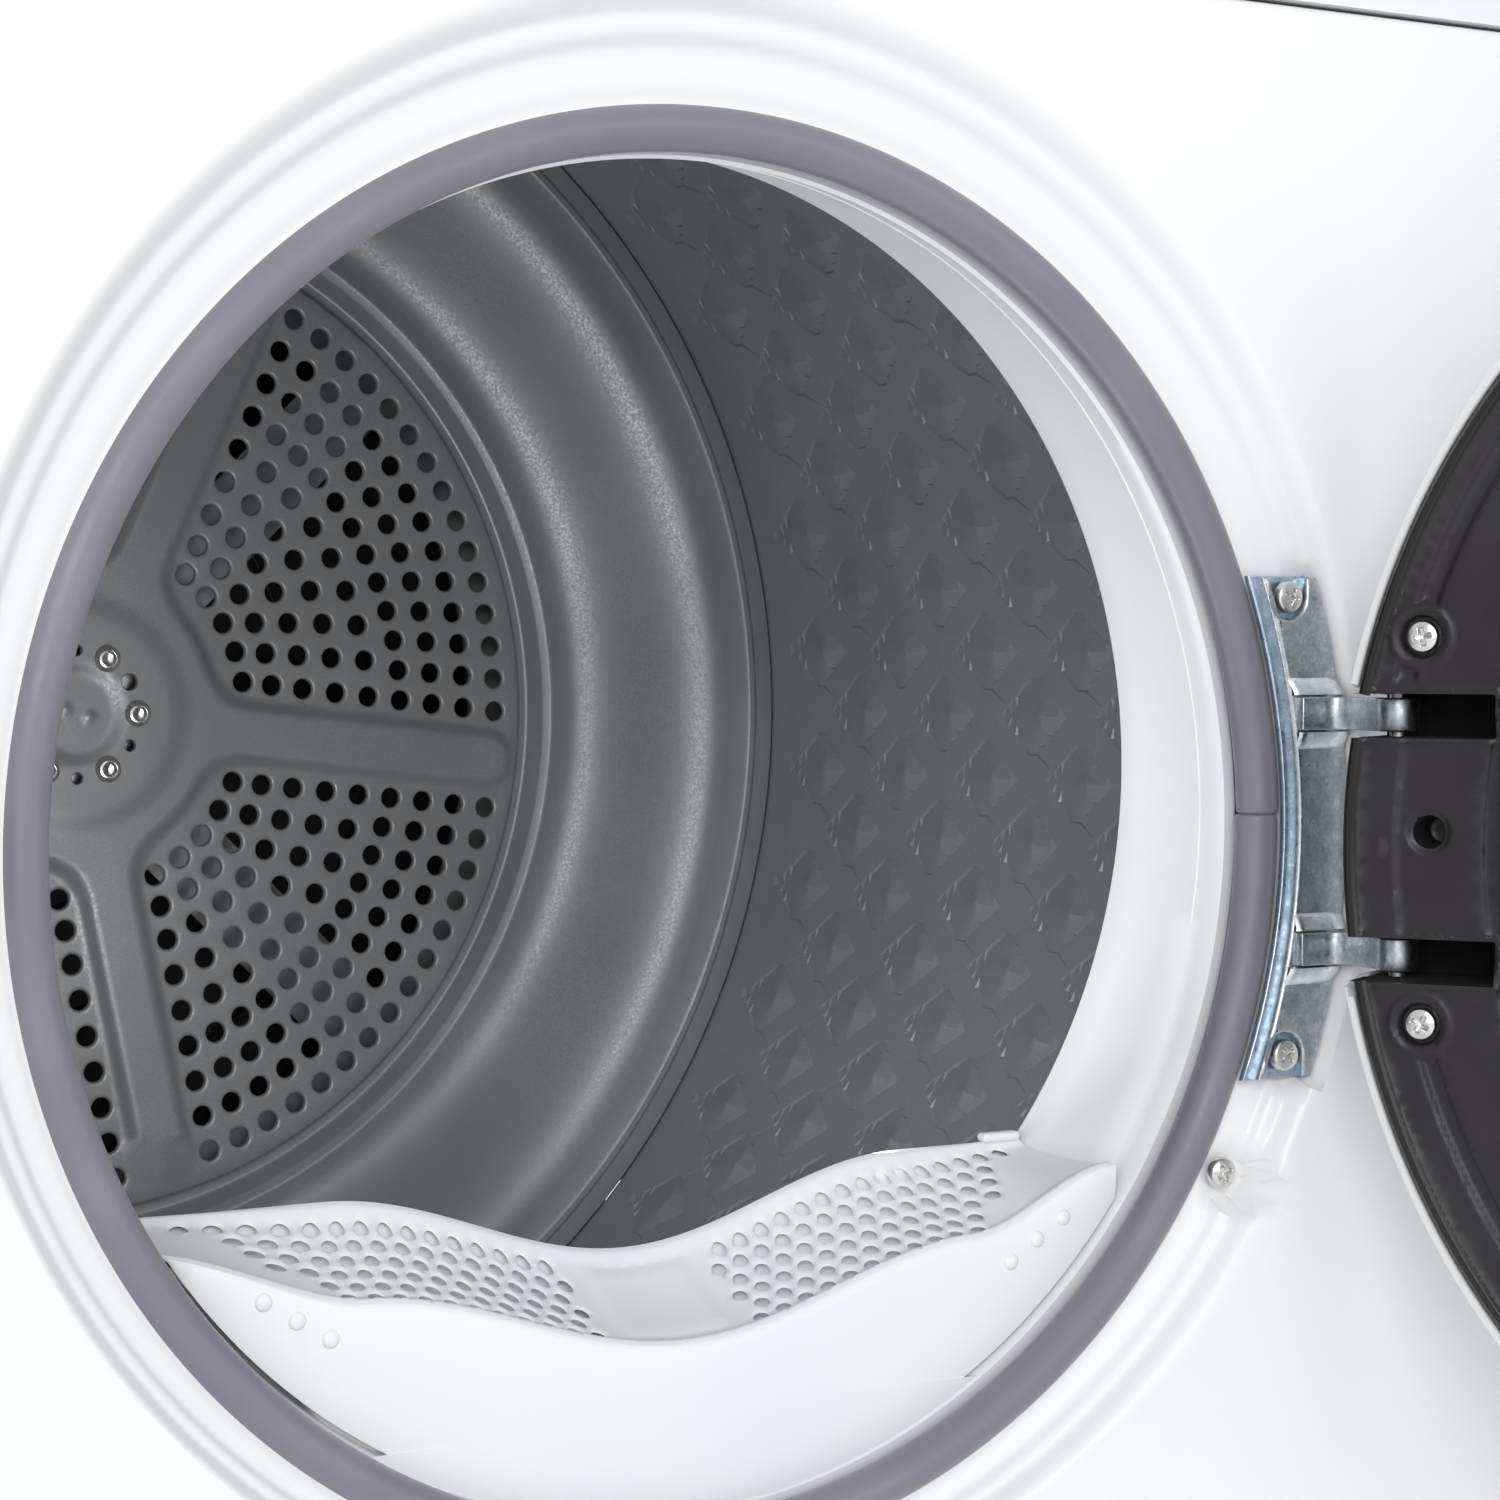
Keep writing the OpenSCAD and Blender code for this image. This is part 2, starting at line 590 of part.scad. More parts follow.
module front_felt_seal() color([0.85, 0.83, 0.78]) ring(neck_r - gap, 246.2, -256, -244, axis_z);

module door_seal() color([0.45, 0.44, 0.48]) along_y(mouth_z) rotate_extrude($fn = 180)
    translate([seal_r + 6.5, front_y + 15.8]) circle(r = 6.4, $fn = 48);

function roller_at(side) = let (r = neck_r + drum_t + roller_r + 0.1)
    [side * r * sin(roller_lean), axis_z - r * cos(roller_lean)];
module roller(side) color([0.2, 0.2, 0.22])
    ring(roller_r, 4 + running, -255, -244, roller_at(side)[1], roller_at(side)[0]);
module roller_left() roller(-1);
module roller_right() roller(1);
module roller_axles() color(steel) for (side = [-1, 1]) {
    bar(4, -264, -243, roller_at(side)[1], roller_at(side)[0]);
    bar(8, -266, -262.8, roller_at(side)[1], roller_at(side)[0]);
    bar(5, -262.9, -255.4, roller_at(side)[1], roller_at(side)[0]);
}

// Height of the filter's top edge at x
function filter_edge(x) = axis_z - 119.5
    - filter_dip * (abs(x) < 90 ? (1 + cos(2 * x)) / 2 : 0);
module filter_head(y0, y1, cx, cz, r, sink) intersection() {
    bar(r, y0, y1, cz);
    plate(y0, y1) polygon(concat(
        [for (x = [-cx : 6 : cx]) [x, filter_edge(x) - sink]], [[cx, axis_z - 260], [-cx, axis_z - 260]]));
}
module lint_filter() color(white) difference() {
    union() {
        filter_head(-272, -235, 132, axis_z - 11, 167.5, 0);
        block([-pocket_x + 0.6, pocket_y[0] + 0.6, pocket_z + 2],
              [pocket_x - 0.6, pocket_y[1] - 0.6, axis_z - 150]);
    }
    filter_head(-270, -237.5, 129, axis_z - 11, 165, 3);
    block([-pocket_x + 3, pocket_y[0] + 3, pocket_z + 4.5],
          [pocket_x - 3, pocket_y[1] - 3, axis_z - 140]);
    for (row = [0:2], i = [-9:9]) translate([i * 12 + (row % 2) * 6, -265 + row * 10.5, axis_z - 150])
        cylinder(h = 40, r = 3, $fn = 24);
}

module door_lock() color([0.25, 0.26, 0.28]) difference() {
    block([-222, front_y + 16.5, mouth_z - 26], [-200, front_y + 31.5, mouth_z + 26]);
    block([-212, front_y + 15, mouth_z - 14.5], [-199, front_y + 29, mouth_z + 14.5]);
}

// ---------- hinge ----------

bracket_screw_at = [[187.8, mouth_z + 65], [187, mouth_z - 67]];
panel_screw_at = [169.2, mouth_z - 100.5];

// Part of an annulus about the opening's centre, between two heights from that centre
module bracket_field(r0, r1, low, high) translate([0, mouth_z]) intersection() {
    difference() {
        circle(r = r1, $fn = 180);
        circle(r = r0, $fn = 180);
    }
    translate([150, low]) square([80, high - low]);
}
module hinge_bracket() color([0.7, 0.73, 0.77]) difference() {
    union() {
        plate(front_y + 8, front_y + 10) bracket_field(189.2, 210.5, -74, 71);
        plate(front_y + 4, front_y + 10) bracket_field(192, 210.5, -74, 71);
        for (z = arm_z) {
            block([191, front_y + 1.2, z - arm_h / 2], [hinge_x + arm_t / 2, front_y + 5, z + arm_h / 2]);
            block([hinge_x - arm_t / 2, hinge_y, z - arm_h / 2],
                  [hinge_x + arm_t / 2, front_y + 4, z + arm_h / 2]);
            translate([hinge_x, hinge_y, z - arm_h / 2]) cylinder(h = arm_h, r = eye_r);
        }
    }
    for (z = arm_z) translate([hinge_x, hinge_y, z - arm_h]) cylinder(h = 2 * arm_h, r = pin_r + running);
    for (p = bracket_screw_at) {
        bar(6.4, front_y - 2, front_y + 6, p[1], p[0]);
        bar(2.2, front_y - 2, front_y + 12, p[1], p[0]);
    }
}

module pan_screw(x, z, y, shank) {
    bar(4.6, y, y + 3, z, x);
    bar(2, y + 2.9, y + shank, z, x);
}
module hinge_screws() color([0.75, 0.75, 0.74]) {
    for (p = bracket_screw_at) pan_screw(p[0], p[1], front_y + 2.9, 14);
    pan_screw(panel_screw_at[0], panel_screw_at[1], front_y + 8.8, 8);
}

// ---------- door, drawn closed ----------

module arm_slots() for (z = arm_z)
    block([172, hinge_y - 15, z - 6.2], [232, front_y, z + 6.2]);

module hinge_pins() color(steel) on_door() for (z = arm_z)
    translate([hinge_x, hinge_y, z - 13]) cylinder(h = 26, r = pin_r);

module door_inner_frame() color(dark) on_door() difference() {
    union() {
        ring(door_r, window_r, door_in_y - 3, door_in_y, door_z);
        ring(door_r, door_r - 3, door_in_y - 16, door_in_y - 1, door_z);
        ring(window_r + 4, window_r, door_in_y - 22, door_in_y, door_z);
        intersection() {
            ring(plug_r, plug_r - 3, door_in_y - 1, door_in_y + 12, mouth_z);
            bar(300, door_in_y - 3, door_in_y + 14, door_z);
        }
        ring(plug_r, window_r + 9, door_in_y + 9, door_in_y + 12, mouth_z);
        intersection() {
            block([169, door_in_y - 28, mouth_z - 50], [door_r, door_in_y - 1, mouth_z + 45]);
            bar(door_r - 0.2, door_in_y - 40, door_in_y, door_z);
        }
        for (p = door_screw_at) bar(7, door_in_y - 30, door_in_y - 2, p[1], p[0]);
    }
    arm_slots();
    for (z = arm_z) translate([hinge_x, hinge_y, z - 14]) cylinder(h = 28, r = pin_r + running);
    for (p = door_screw_at) bar(5.4, door_in_y - 3.5, door_in_y + 1, p[1], p[0]);
    for (p = door_screw_at) bar(2.1, door_in_y - 31, door_in_y, p[1], p[0]);
    bar(4, door_in_y - 12, door_in_y + 1, mouth_z, 190.5);
    block([-205.5, door_in_y - 30, mouth_z - 10.5], [-196.5, door_in_y + 1, mouth_z + 10.5]);
}

// Screws of the inner frame: X and Z on the closed door
door_screw_at = concat(
    [for (z = [mouth_z + 53.5, mouth_z - 54]) [192.8, z]],
    [for (a = [75, 120, 150, 210, 240, 285]) [201.5 * cos(a), door_z + 201.5 * sin(a)]]);

module door_outer_ring() color(white) on_door() difference() {
    along_y(door_z) rotate_extrude($fn = 180) polygon(concat(
        [[ring_r - 2.5, door_in_y - 3.5], [ring_r, door_in_y - 3.5]],
        [for (a = [0:15:90]) [ring_r - 14 + 14 * cos(a), door_out_y + 17 - 14 * sin(a)]],
        [[176, door_out_y - 1], [174, door_out_y + 3], [174, door_out_y + 8],
         [ring_r - 16, door_out_y + 7], [ring_r - 6, door_out_y + 12],
         [ring_r - 2.5, door_out_y + 20]]));
    arm_slots();
    block([-ring_r - 2, door_in_y - 20, door_z - 45], [-ring_r + 8, door_in_y, door_z + 45]);
}

module door_glass() color([0.06, 0.06, 0.07]) on_door() along_y(door_z) rotate_extrude($fn = 180)
    polygon([[0, door_out_y - 5], [90, door_out_y - 4], [150, door_out_y - 1.5],
             [173.6, door_out_y + 2], [173.6, door_out_y + 6], [0, door_out_y + 3]]);

// Clear bowl that closes the middle of the door
module door_window() color([0.7, 0.75, 0.78, 0.5]) on_door() along_y(door_z)
    rotate_extrude($fn = 180) polygon([
        [0, door_in_y + 10], [90, door_in_y + 7.5], [130, door_in_y + 2],
        [window_r - 0.4, door_in_y - 8], [window_r - 0.4, door_in_y - 12], [142, door_in_y - 12],
        [128, door_in_y - 2.5], [90, door_in_y + 3.5], [0, door_in_y + 6]]);

module door_hook() color(steel) on_door() difference() {
    union() {
        translate([-201, door_in_y - 14, mouth_z - 9.5]) cylinder(h = 19, r = 4.2);
        block([-203.5, door_in_y - 14, mouth_z - 9.5], [-200, door_in_y + 24, mouth_z + 9.5]);
        block([-208, door_in_y + 20, mouth_z - 9.5], [-200, door_in_y + 24, mouth_z + 9.5]);
    }
    translate([-201, door_in_y - 14, mouth_z - 12]) cylinder(h = 24, r = 2 + running);
}

module door_screws() color([0.78, 0.79, 0.8]) on_door() {
    for (p = door_screw_at) along_y(p[1], p[0]) translate([0, 0, door_in_y - 3.4]) {
        cylinder(h = 3, r = 4.6);
        translate([0, 0, -18]) cylinder(h = 18.1, r = 2);
    }
    // pin that carries the latch hook
    translate([-201, door_in_y - 14, mouth_z - 10.4]) cylinder(h = 20.8, r = 2);
}

module power_inlet() color([0.1, 0.1, 0.1]) difference() {
    block([225, rear_d + gap, 70], [265, rear_d + 14, 100]);
    bar(4.5, rear_d, rear_d + 20, 85, 245);
}

base_tray();
feet();
side_panel_left();
side_panel_right();
rear_panel();
rear_duct_cover();
top_panel();
front_panel();
control_fascia();
program_knob();
display_window();
control_board();
power_button();
start_button();
option_button_1();
option_button_2();
tank_front();
water_tank();
tank_tray();
kick_panel();
exchanger_cover();
cover_lever_left();
cover_lever_right();
evaporator_coil();
condenser_coil();
compressor();
drain_pump();
drive_motor();
motor_pulley();
drive_belt();
idler_arm();
idler_pulley();
idler_spring();
fan_wheel();
fan_housing();
drum_shell();
drum_back_plate();
drum_shaft();
hub_screws();
drum_lifters();
rear_bearing();
rear_felt_seal();
front_shield();
front_felt_seal();
door_seal();
roller_left();
roller_right();
roller_axles();
lint_filter();
door_lock();
hinge_bracket();
hinge_pins();
hinge_screws();
door_inner_frame();
door_outer_ring();
door_glass();
door_window();
door_hook();
door_screws();
power_inlet();
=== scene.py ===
import json
import math
import bmesh
import bpy
import numpy as np
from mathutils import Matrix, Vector
from mathutils.geometry import delaunay_2d_cdt


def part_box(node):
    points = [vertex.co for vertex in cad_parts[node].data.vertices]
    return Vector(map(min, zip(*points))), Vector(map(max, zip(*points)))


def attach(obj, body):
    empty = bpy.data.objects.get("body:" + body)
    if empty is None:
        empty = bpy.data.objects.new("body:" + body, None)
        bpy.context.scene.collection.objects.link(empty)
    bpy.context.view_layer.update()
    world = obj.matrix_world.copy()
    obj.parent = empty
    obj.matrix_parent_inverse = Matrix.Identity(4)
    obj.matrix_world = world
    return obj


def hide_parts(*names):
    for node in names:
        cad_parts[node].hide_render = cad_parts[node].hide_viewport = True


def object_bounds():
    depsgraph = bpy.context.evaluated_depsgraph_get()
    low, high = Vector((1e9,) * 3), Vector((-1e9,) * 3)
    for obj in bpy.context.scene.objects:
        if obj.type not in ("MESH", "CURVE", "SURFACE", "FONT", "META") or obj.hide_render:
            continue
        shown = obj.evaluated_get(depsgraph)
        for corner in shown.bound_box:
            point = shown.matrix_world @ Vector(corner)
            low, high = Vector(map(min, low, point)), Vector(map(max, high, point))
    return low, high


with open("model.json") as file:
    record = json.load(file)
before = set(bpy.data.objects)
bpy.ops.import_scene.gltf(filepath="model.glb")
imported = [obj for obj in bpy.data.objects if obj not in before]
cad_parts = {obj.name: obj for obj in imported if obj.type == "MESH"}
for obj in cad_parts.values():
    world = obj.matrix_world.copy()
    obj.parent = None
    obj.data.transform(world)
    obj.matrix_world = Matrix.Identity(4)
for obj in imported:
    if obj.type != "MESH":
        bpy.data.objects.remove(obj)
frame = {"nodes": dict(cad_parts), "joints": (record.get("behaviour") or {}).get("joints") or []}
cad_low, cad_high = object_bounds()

# Looks of the clothes dryer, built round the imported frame. Lengths in this script are in
# millimetres in the row frame (+Z up, the front faces -Y); new_piece() turns them into metres.
MM = 0.001


# ---------- places read from the frame ----------

def box(node):
    """Lower and upper corner of a CAD node, in millimetres."""
    low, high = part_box(node)
    return np.array(low) / MM, np.array(high) / MM


def middle(node, axis):
    """Middle of the node's box along one axis."""
    low, high = box(node)
    return (low[axis] + high[axis]) / 2


def joint(name):
    return next(j for j in frame["joints"] if j["name"] == name)


SHEET = 1.5
FRONT_Y = box("front_panel")[0][1]
AXIS_Z = middle("drum_shell", 2)
DRUM_R = box("drum_shell")[1][0] - SHEET
BACK_Y = box("drum_shaft")[0][1] - SHEET
SKIRT_Y = box("drum_back_plate")[0][1]
NECK_Y = box("drum_shell")[0][1]
MOUTH_Y = NECK_Y + 23
MOUTH_Z = middle("door_seal", 2)
SEAL_TUBE = (box("door_seal")[1][1] - box("door_seal")[0][1]) / 2
SEAL_R = box("door_seal")[1][0] - SEAL_TUBE
SEAL_Y = middle("door_seal", 1)
RECESS_Z = AXIS_Z - 16
RECESS_R = 212.5
DOOR_Z = AXIS_Z - 30
HINGE = np.array(joint("door_hinge")["pos_m"]) / MM
DOOR_OPEN = math.radians(-joint("door_hinge")["range_deg"][0])
DOOR_R = (box("door_inner_frame")[1][2] - box("door_inner_frame")[0][2]) / 2
RING_R = (box("door_outer_ring")[1][2] - box("door_outer_ring")[0][2]) / 2
DOOR_IN = FRONT_Y - 2.5
DOOR_OUT = FRONT_Y - 45
ARM_Z = [MOUTH_Z + 31.5, MOUTH_Z - 36.5]
ARM_H = 9.5


# ---------- mesh helpers: a part is (vertices, faces) ----------

def grid(points, wrap_u=False, wrap_v=False):
    """Quads over an array of points with shape (nu, nv, 3)."""
    nu, nv = points.shape[:2]
    ids = np.arange(nu * nv).reshape(nu, nv)
    a = np.arange(nu if wrap_u else nu - 1)
    b = np.arange(nv if wrap_v else nv - 1)
    a2, b2 = (a + 1) % nu, (b + 1) % nv
    corners = [ids[np.ix_(i, j)] for i, j in ((a, b), (a2, b), (a2, b2), (a, b2))]
    quads = np.stack(corners, -1)
    return points.reshape(-1, 3), quads.reshape(-1, 4).tolist()


def join(*parts):
    """One part made of several."""
    points, faces, start = [], [], 0
    for p, f in parts:
        points.append(np.asarray(p, float))
        faces += [[i + start for i in face] for face in f]
        start += len(p)
    return np.concatenate(points), faces


def moved(part, by):
    return part[0] + np.array(by), part[1]


def turn_y(angle):
    """Turn about +Y, seen from the front with X right and Z up, anticlockwise."""
    c, s = math.cos(angle), math.sin(angle)
    return np.array([[c, 0, -s], [0, 1, 0], [s, 0, c]])


def turn_z(angle):
    c, s = math.cos(angle), math.sin(angle)
    return np.array([[c, -s, 0], [s, c, 0], [0, 0, 1]])


def rounded(points, radius, steps=4, closed=False):
    """The outline with each corner made an arc; radius is one number or one per corner."""
    p = [np.array(q, float) for q in points]
    n = len(p)
    radii = [radius] * n if np.isscalar(radius) else list(radius)
    out = []
    for i in range(n):
        if not closed and i in (0, n - 1):
            out.append(p[i])
            continue
        before, after = p[i - 1] - p[i], p[(i + 1) % n] - p[i]
        lb, la = np.linalg.norm(before), np.linalg.norm(after)
        before, after = before / lb, after / la
        half = math.acos(np.clip(before @ after, -1, 1)) / 2
        if radii[i] <= 0 or half > math.radians(89):
            out.append(p[i])
            continue
        cut = min(radii[i] / math.tan(half), lb * 0.49, la * 0.49)
        r = cut * math.tan(half)
        centre = p[i] + (before + after) / np.linalg.norm(before + after) * (r / math.sin(half))
        a, b = p[i] + before * cut - centre, p[i] + after * cut - centre
        total = math.pi - 2 * half
        for k in range(steps + 1):
            t = k / steps
            out.append(centre + (a * math.sin((1 - t) * total) + b * math.sin(t * total)) / math.sin(total))
    return np.array(out)


def around(reach, y, angles, z, x=0.0):
    """Points at a reach, in mm, from a line along Y."""
    return np.stack(np.broadcast_arrays(x + reach * np.cos(angles), y, z + reach * np.sin(angles)), -1)


def lathe(profile, z=AXIS_Z, x=0.0, n=192, start=0.0, closed=False, angles=None):
    """Turns (radius, y) points about a line along Y."""
    angles = start + 2 * math.pi * np.arange(n) / n if angles is None else np.array(angles)
    radii, y = np.array(profile, float).T
    return grid(around(radii, y, angles[:, None], z, x), wrap_u=True, wrap_v=closed)


def filled(loops, extra=()):
    """Triangulates the area inside the first loop and outside the others."""
    flat = np.concatenate([*loops, *extra])
    edges, at = [], 0
    for loop in loops:
        n = len(loop)
        edges += [(at + k, at + (k + 1) % n) for k in range(n)]
        at += n
    made = delaunay_2d_cdt([Vector(q) for q in flat], edges, [], 0, 1e-6)
    points = np.array([list(v) for v in made[0]])
    faces = np.array([list(t) for t in made[2]])
    return points, faces[within(loops, points[faces].mean(1))], made[3]


ROUND_STEPS = ((1, 0), (0.5, 0.13), (0.13, 0.5), (0, 1))


def prism(outline, y0, y1, holes=(), round_edge=0.0):
    """Plate with an outline in X and Z, from y0 to y1, with rounded edges and holes."""
    loops = [np.array(outline, float)] + [np.array(h, float) for h in holes]
    shares = ROUND_STEPS if round_edge else [(0, 0)]
    steps = [(round_edge * inset, round_edge * deep) for inset, deep in shares]
    points, faces, start = [], [], 0
    rims = ([], [])
    for number, loop in enumerate(loops):
        inward = inset_direction(loop) * (1 if number == 0 else -1)
        rows = [(loop + inward * inset, y0 + deep) for inset, deep in steps]
        rows += [(loop + inward * inset, y1 - deep) for inset, deep in reversed(steps)]
        ring = np.array([[[x, y, z] for x, z in row] for row, y in rows])
        p, f = grid(ring, wrap_v=True)
        points.append(p)
        faces += [[i + start for i in face] for face in f]
        ids = np.arange(len(loop)) + start
        rims[0].append((ids, rows[0][0]))
        rims[1].append((ids + (len(rows) - 1) * len(loop), rows[-1][0]))
        start += len(p)
    for rim, y in zip(rims, (y0, y1)):
        ids = np.concatenate([r[0] for r in rim])
        places, triangles, origins = filled([r[1] for r in rim])
        source = []
        for (x, z), origin in zip(places, origins):
            if origin:
                source.append(int(ids[origin[0]]))
            else:
                source.append(start)
                points.append(np.array([[x, y, z]]))
                start += 1
        faces += [[source[i] for i in t] for t in triangles]
    return np.concatenate(points), faces


def lying(outline, z0, z1, **options):
    """The same with its outline in X and Y, from z0 to z1."""
    p, f = prism(outline, z0, z1, **options)
    return p[:, [0, 2, 1]], f


def inset_direction(loop):
    """Per point, the way to step inwards by one millimetre."""
    before, after = loop - np.roll(loop, 1, 0), np.roll(loop, -1, 0) - loop
    area = np.sum(loop[:, 0] * np.roll(loop[:, 1], -1) - np.roll(loop[:, 0], -1) * loop[:, 1])
    sign = 1 if area > 0 else -1
    def normal(v):
        v = v / np.maximum(np.linalg.norm(v, axis=1), 1e-9)[:, None]
        return np.stack([-v[:, 1], v[:, 0]], 1) * sign
    n = normal(before) + normal(after)
    length = np.linalg.norm(n, axis=1)
    return n / np.maximum(length, 1e-9)[:, None] * np.minimum(2 / np.maximum(length, 1e-9), 1.6)[:, None]


def inside(loop, points):
    """Which points lie inside a closed outline."""
    points = np.atleast_2d(points)
    within = np.zeros(len(points), bool)
    for (ax, ay), (bx, by) in zip(loop, np.roll(loop, -1, 0)):
        if ay != by:
            crosses = (ay > points[:, 1]) != (by > points[:, 1])
            within ^= crosses & (points[:, 0] < ax + (points[:, 1] - ay) / (by - ay) * (bx - ax))
    return within


def within(loops, points):
    """Which points lie inside the first outline and outside the others."""
    keep = inside(loops[0], points)
    for hole in loops[1:]:
        keep &= ~inside(hole, points)
    return keep


def relief(outline, holes, extra, step):
    """Fills a plate with open holes; returns its flat points and faces, the outline's points first."""
    loops = [np.asarray(outline, float)] + [np.asarray(h, float) for h in holes]
    edge = np.concatenate(loops)
    low, high = loops[0].min(0), loops[0].max(0)
    ground = hex_points(np.linalg.norm(high - low) / 2, step) + (low + high) / 2
    filling = np.concatenate([ground] + [np.asarray(e, float) for e in extra])
    filling = filling[within(loops, filling)]
    near = np.full(len(filling), 1e9)
    for at in range(0, len(edge), 200):
        part = edge[at:at + 200]
        near = np.minimum(near, np.sqrt(((filling[:, None] - part[None]) ** 2).sum(2)).min(1))
    points, faces, _ = filled(loops, [filling[near > 0.45]])
    return points, faces.tolist()


def ring_points(r, spacing, cx=0.0, cz=0.0):
    """Circle whose points are about that far apart."""
    return circle(r, cx, cz, max(12, int(2 * math.pi * r / spacing)))


def pan_head(x, z, base, up, r=4.6, tall=3.0, turn=0.3):
    """Domed screw head with a cross recess; up is -1 when it stands out towards -Y."""
    edge = r - 0.6
    rim_radii = edge + 0.6 * np.sin(np.linspace(0.25, 1, 5) * math.pi / 2)
    radii = np.concatenate([np.linspace(0.05, 3.4, 22), np.linspace(3.6, edge, 5), rim_radii])
    angles = np.arange(72) * 2 * math.pi / 72
    rr, aa = np.meshgrid(radii, angles, indexing="ij")
    u, v = np.abs(rr * np.cos(aa + turn)), np.abs(rr * np.sin(aa + turn))
    rim = np.clip((rr - edge) / 0.6, 0, 0.999)
    dome = tall * (1 - 0.30 * (rr / r) ** 2 - 0.6 * (1 - np.sqrt(1 - rim ** 2)))
    slots = [(1 - smooth_step(a, 0.42, 0.8)) * (1 - smooth_step(b, 2.2, 2.8)) for a, b in ((u, v), (v, u))]
    dome -= 2.2 * np.maximum(*slots) * (1 - 0.45 * np.clip(rr / 2.6, 0, 1))
    wall = around(r, base, angles[None], z, x)
    return grid(np.concatenate([around(rr, base + up * dome, aa, z, x), wall]), wrap_v=True)


def circle_points(r, cz, angles, cx=0.0):
    """Points (x, z) of a circle at the given angles."""
    return around(r, 0.0, angles, cz, cx)[:, [0, 2]]


def circle(r, cx=0.0, cz=0.0, n=24):
    return circle_points(r, cz, 2 * math.pi * np.arange(n) / n, cx)


def rectangle(x0, x1, z0, z1, r=0.0, steps=4):
    corners = [(x0, z0), (x1, z0), (x1, z1), (x0, z1)]
    return rounded(corners, r, steps, closed=True) if r else np.array(corners, float)


def new_piece(name, part, body, kind, nodes=(), sharp=35, weld=0.0):
    """Makes the object in the finish of that kind and says what it rides on and replaces."""
    mesh = bpy.data.meshes.new(name)
    mesh.from_pydata((np.asarray(part[0]) * MM).tolist(), [], part[1])
    made = bmesh.new()
    made.from_mesh(mesh)
    if weld:
        bmesh.ops.remove_doubles(made, verts=made.verts, dist=weld * MM)
    bmesh.ops.recalc_face_normals(made, faces=made.faces)
    made.to_mesh(mesh)
    made.free()
    mesh.shade_smooth()
    mesh.set_sharp_from_angle(angle=math.radians(sharp))
    thing = bpy.data.objects.new(name, mesh)
    bpy.context.scene.collection.objects.link(thing)
    mesh.materials.append(FINISHES[kind])
    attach(thing, body)
    if nodes:
        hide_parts(*nodes)
    return thing


def on_door(part):
    """Moves a part drawn on the closed door to where the open door holds it."""
    pivot = np.array([HINGE[0], HINGE[1], 0])
    points = (np.asarray(part[0], float) - pivot) @ turn_z(DOOR_OPEN).T + pivot
    return points, part[1]


def smooth_step(x, low, high):
    """0 up to low, 1 from high on, and a smooth rise between them."""
    t = np.clip((x - low) / (high - low), 0, 1)
    return t * t * (3 - 2 * t)


# ---------- finishes ----------

def texture(made, scale, detail=3.0, kind="ShaderNodeTexNoise"):
    """A texture over the object's own coordinates."""
    nodes, links = made.node_tree.nodes, made.node_tree.links
    place = nodes.get("place") or nodes.new("ShaderNodeTexCoord")
    place.name = "place"
    pattern = nodes.new(kind)
    pattern.inputs["Scale"].default_value = scale
    if kind == "ShaderNodeTexNoise":
        pattern.inputs["Detail"].default_value = detail
    links.new(place.outputs["Object"], pattern.inputs["Vector"])
    return pattern.outputs["Fac" if kind == "ShaderNodeTexNoise" else "Distance"]


def stretched(made, value, low, high, to_low=0.0, to_high=1.0):
    """Turns low...high into to_low...to_high."""
    nodes, links = made.node_tree.nodes, made.node_tree.links
    ramp = nodes.new("ShaderNodeMapRange")
    ramp.inputs["From Min"].default_value = low
    ramp.inputs["From Max"].default_value = high
    ramp.inputs["To Min"].default_value = to_low
    ramp.inputs["To Max"].default_value = to_high
    links.new(value, ramp.inputs["Value"])
    return ramp.outputs["Result"]


def tint(made, colour, factor):
    """Blends the base colour with another one."""
    nodes, links = made.node_tree.nodes, made.node_tree.links
    mix = nodes.new("ShaderNodeMix")
    mix.data_type = "RGBA"
    socket = nodes["Principled BSDF"].inputs["Base Color"]
    if socket.is_linked:
        links.new(socket.links[0].from_socket, mix.inputs["A"])
    else:
        mix.inputs["A"].default_value = tuple(socket.default_value)
    mix.inputs["B"].default_value = (*colour, 1)
    links.new(factor, mix.inputs["Factor"])
    links.new(mix.outputs["Result"], socket)


def mottle(made, colour, scale, low, high, detail=3.0, kind="ShaderNodeTexNoise"):
    """Patches of another colour."""
    tint(made, colour, stretched(made, texture(made, scale, detail, kind), low, high))


def polish(made, low_rough, high_rough, scale, detail=2.0):
    """Varies the roughness in patches."""
    rough = stretched(made, texture(made, scale, detail), 0.35, 0.65, low_rough, high_rough)
    made.node_tree.links.new(rough, made.node_tree.nodes["Principled BSDF"].inputs["Roughness"])


def wear_and_edge_highlight(made, colour, amount):
    """Lighter tone along convex edges: partly wear, partly a painted highlight on the edges."""
    geometry = made.node_tree.nodes.new("ShaderNodeNewGeometry")
    tint(made, colour, stretched(made, geometry.outputs["Pointiness"], 0.53, 0.62, 0.0, amount))


def grain(made, scale, depth, detail, strength=0.5):
    """Fine relief; depth in millimetres."""
    nodes, links = made.node_tree.nodes, made.node_tree.links
    bump = nodes.new("ShaderNodeBump")
    bump.inputs["Strength"].default_value = strength
    bump.inputs["Distance"].default_value = depth * MM
    links.new(texture(made, scale, detail), bump.inputs["Height"])
    links.new(bump.outputs["Normal"], nodes["Principled BSDF"].inputs["Normal"])


FINISHES = {}


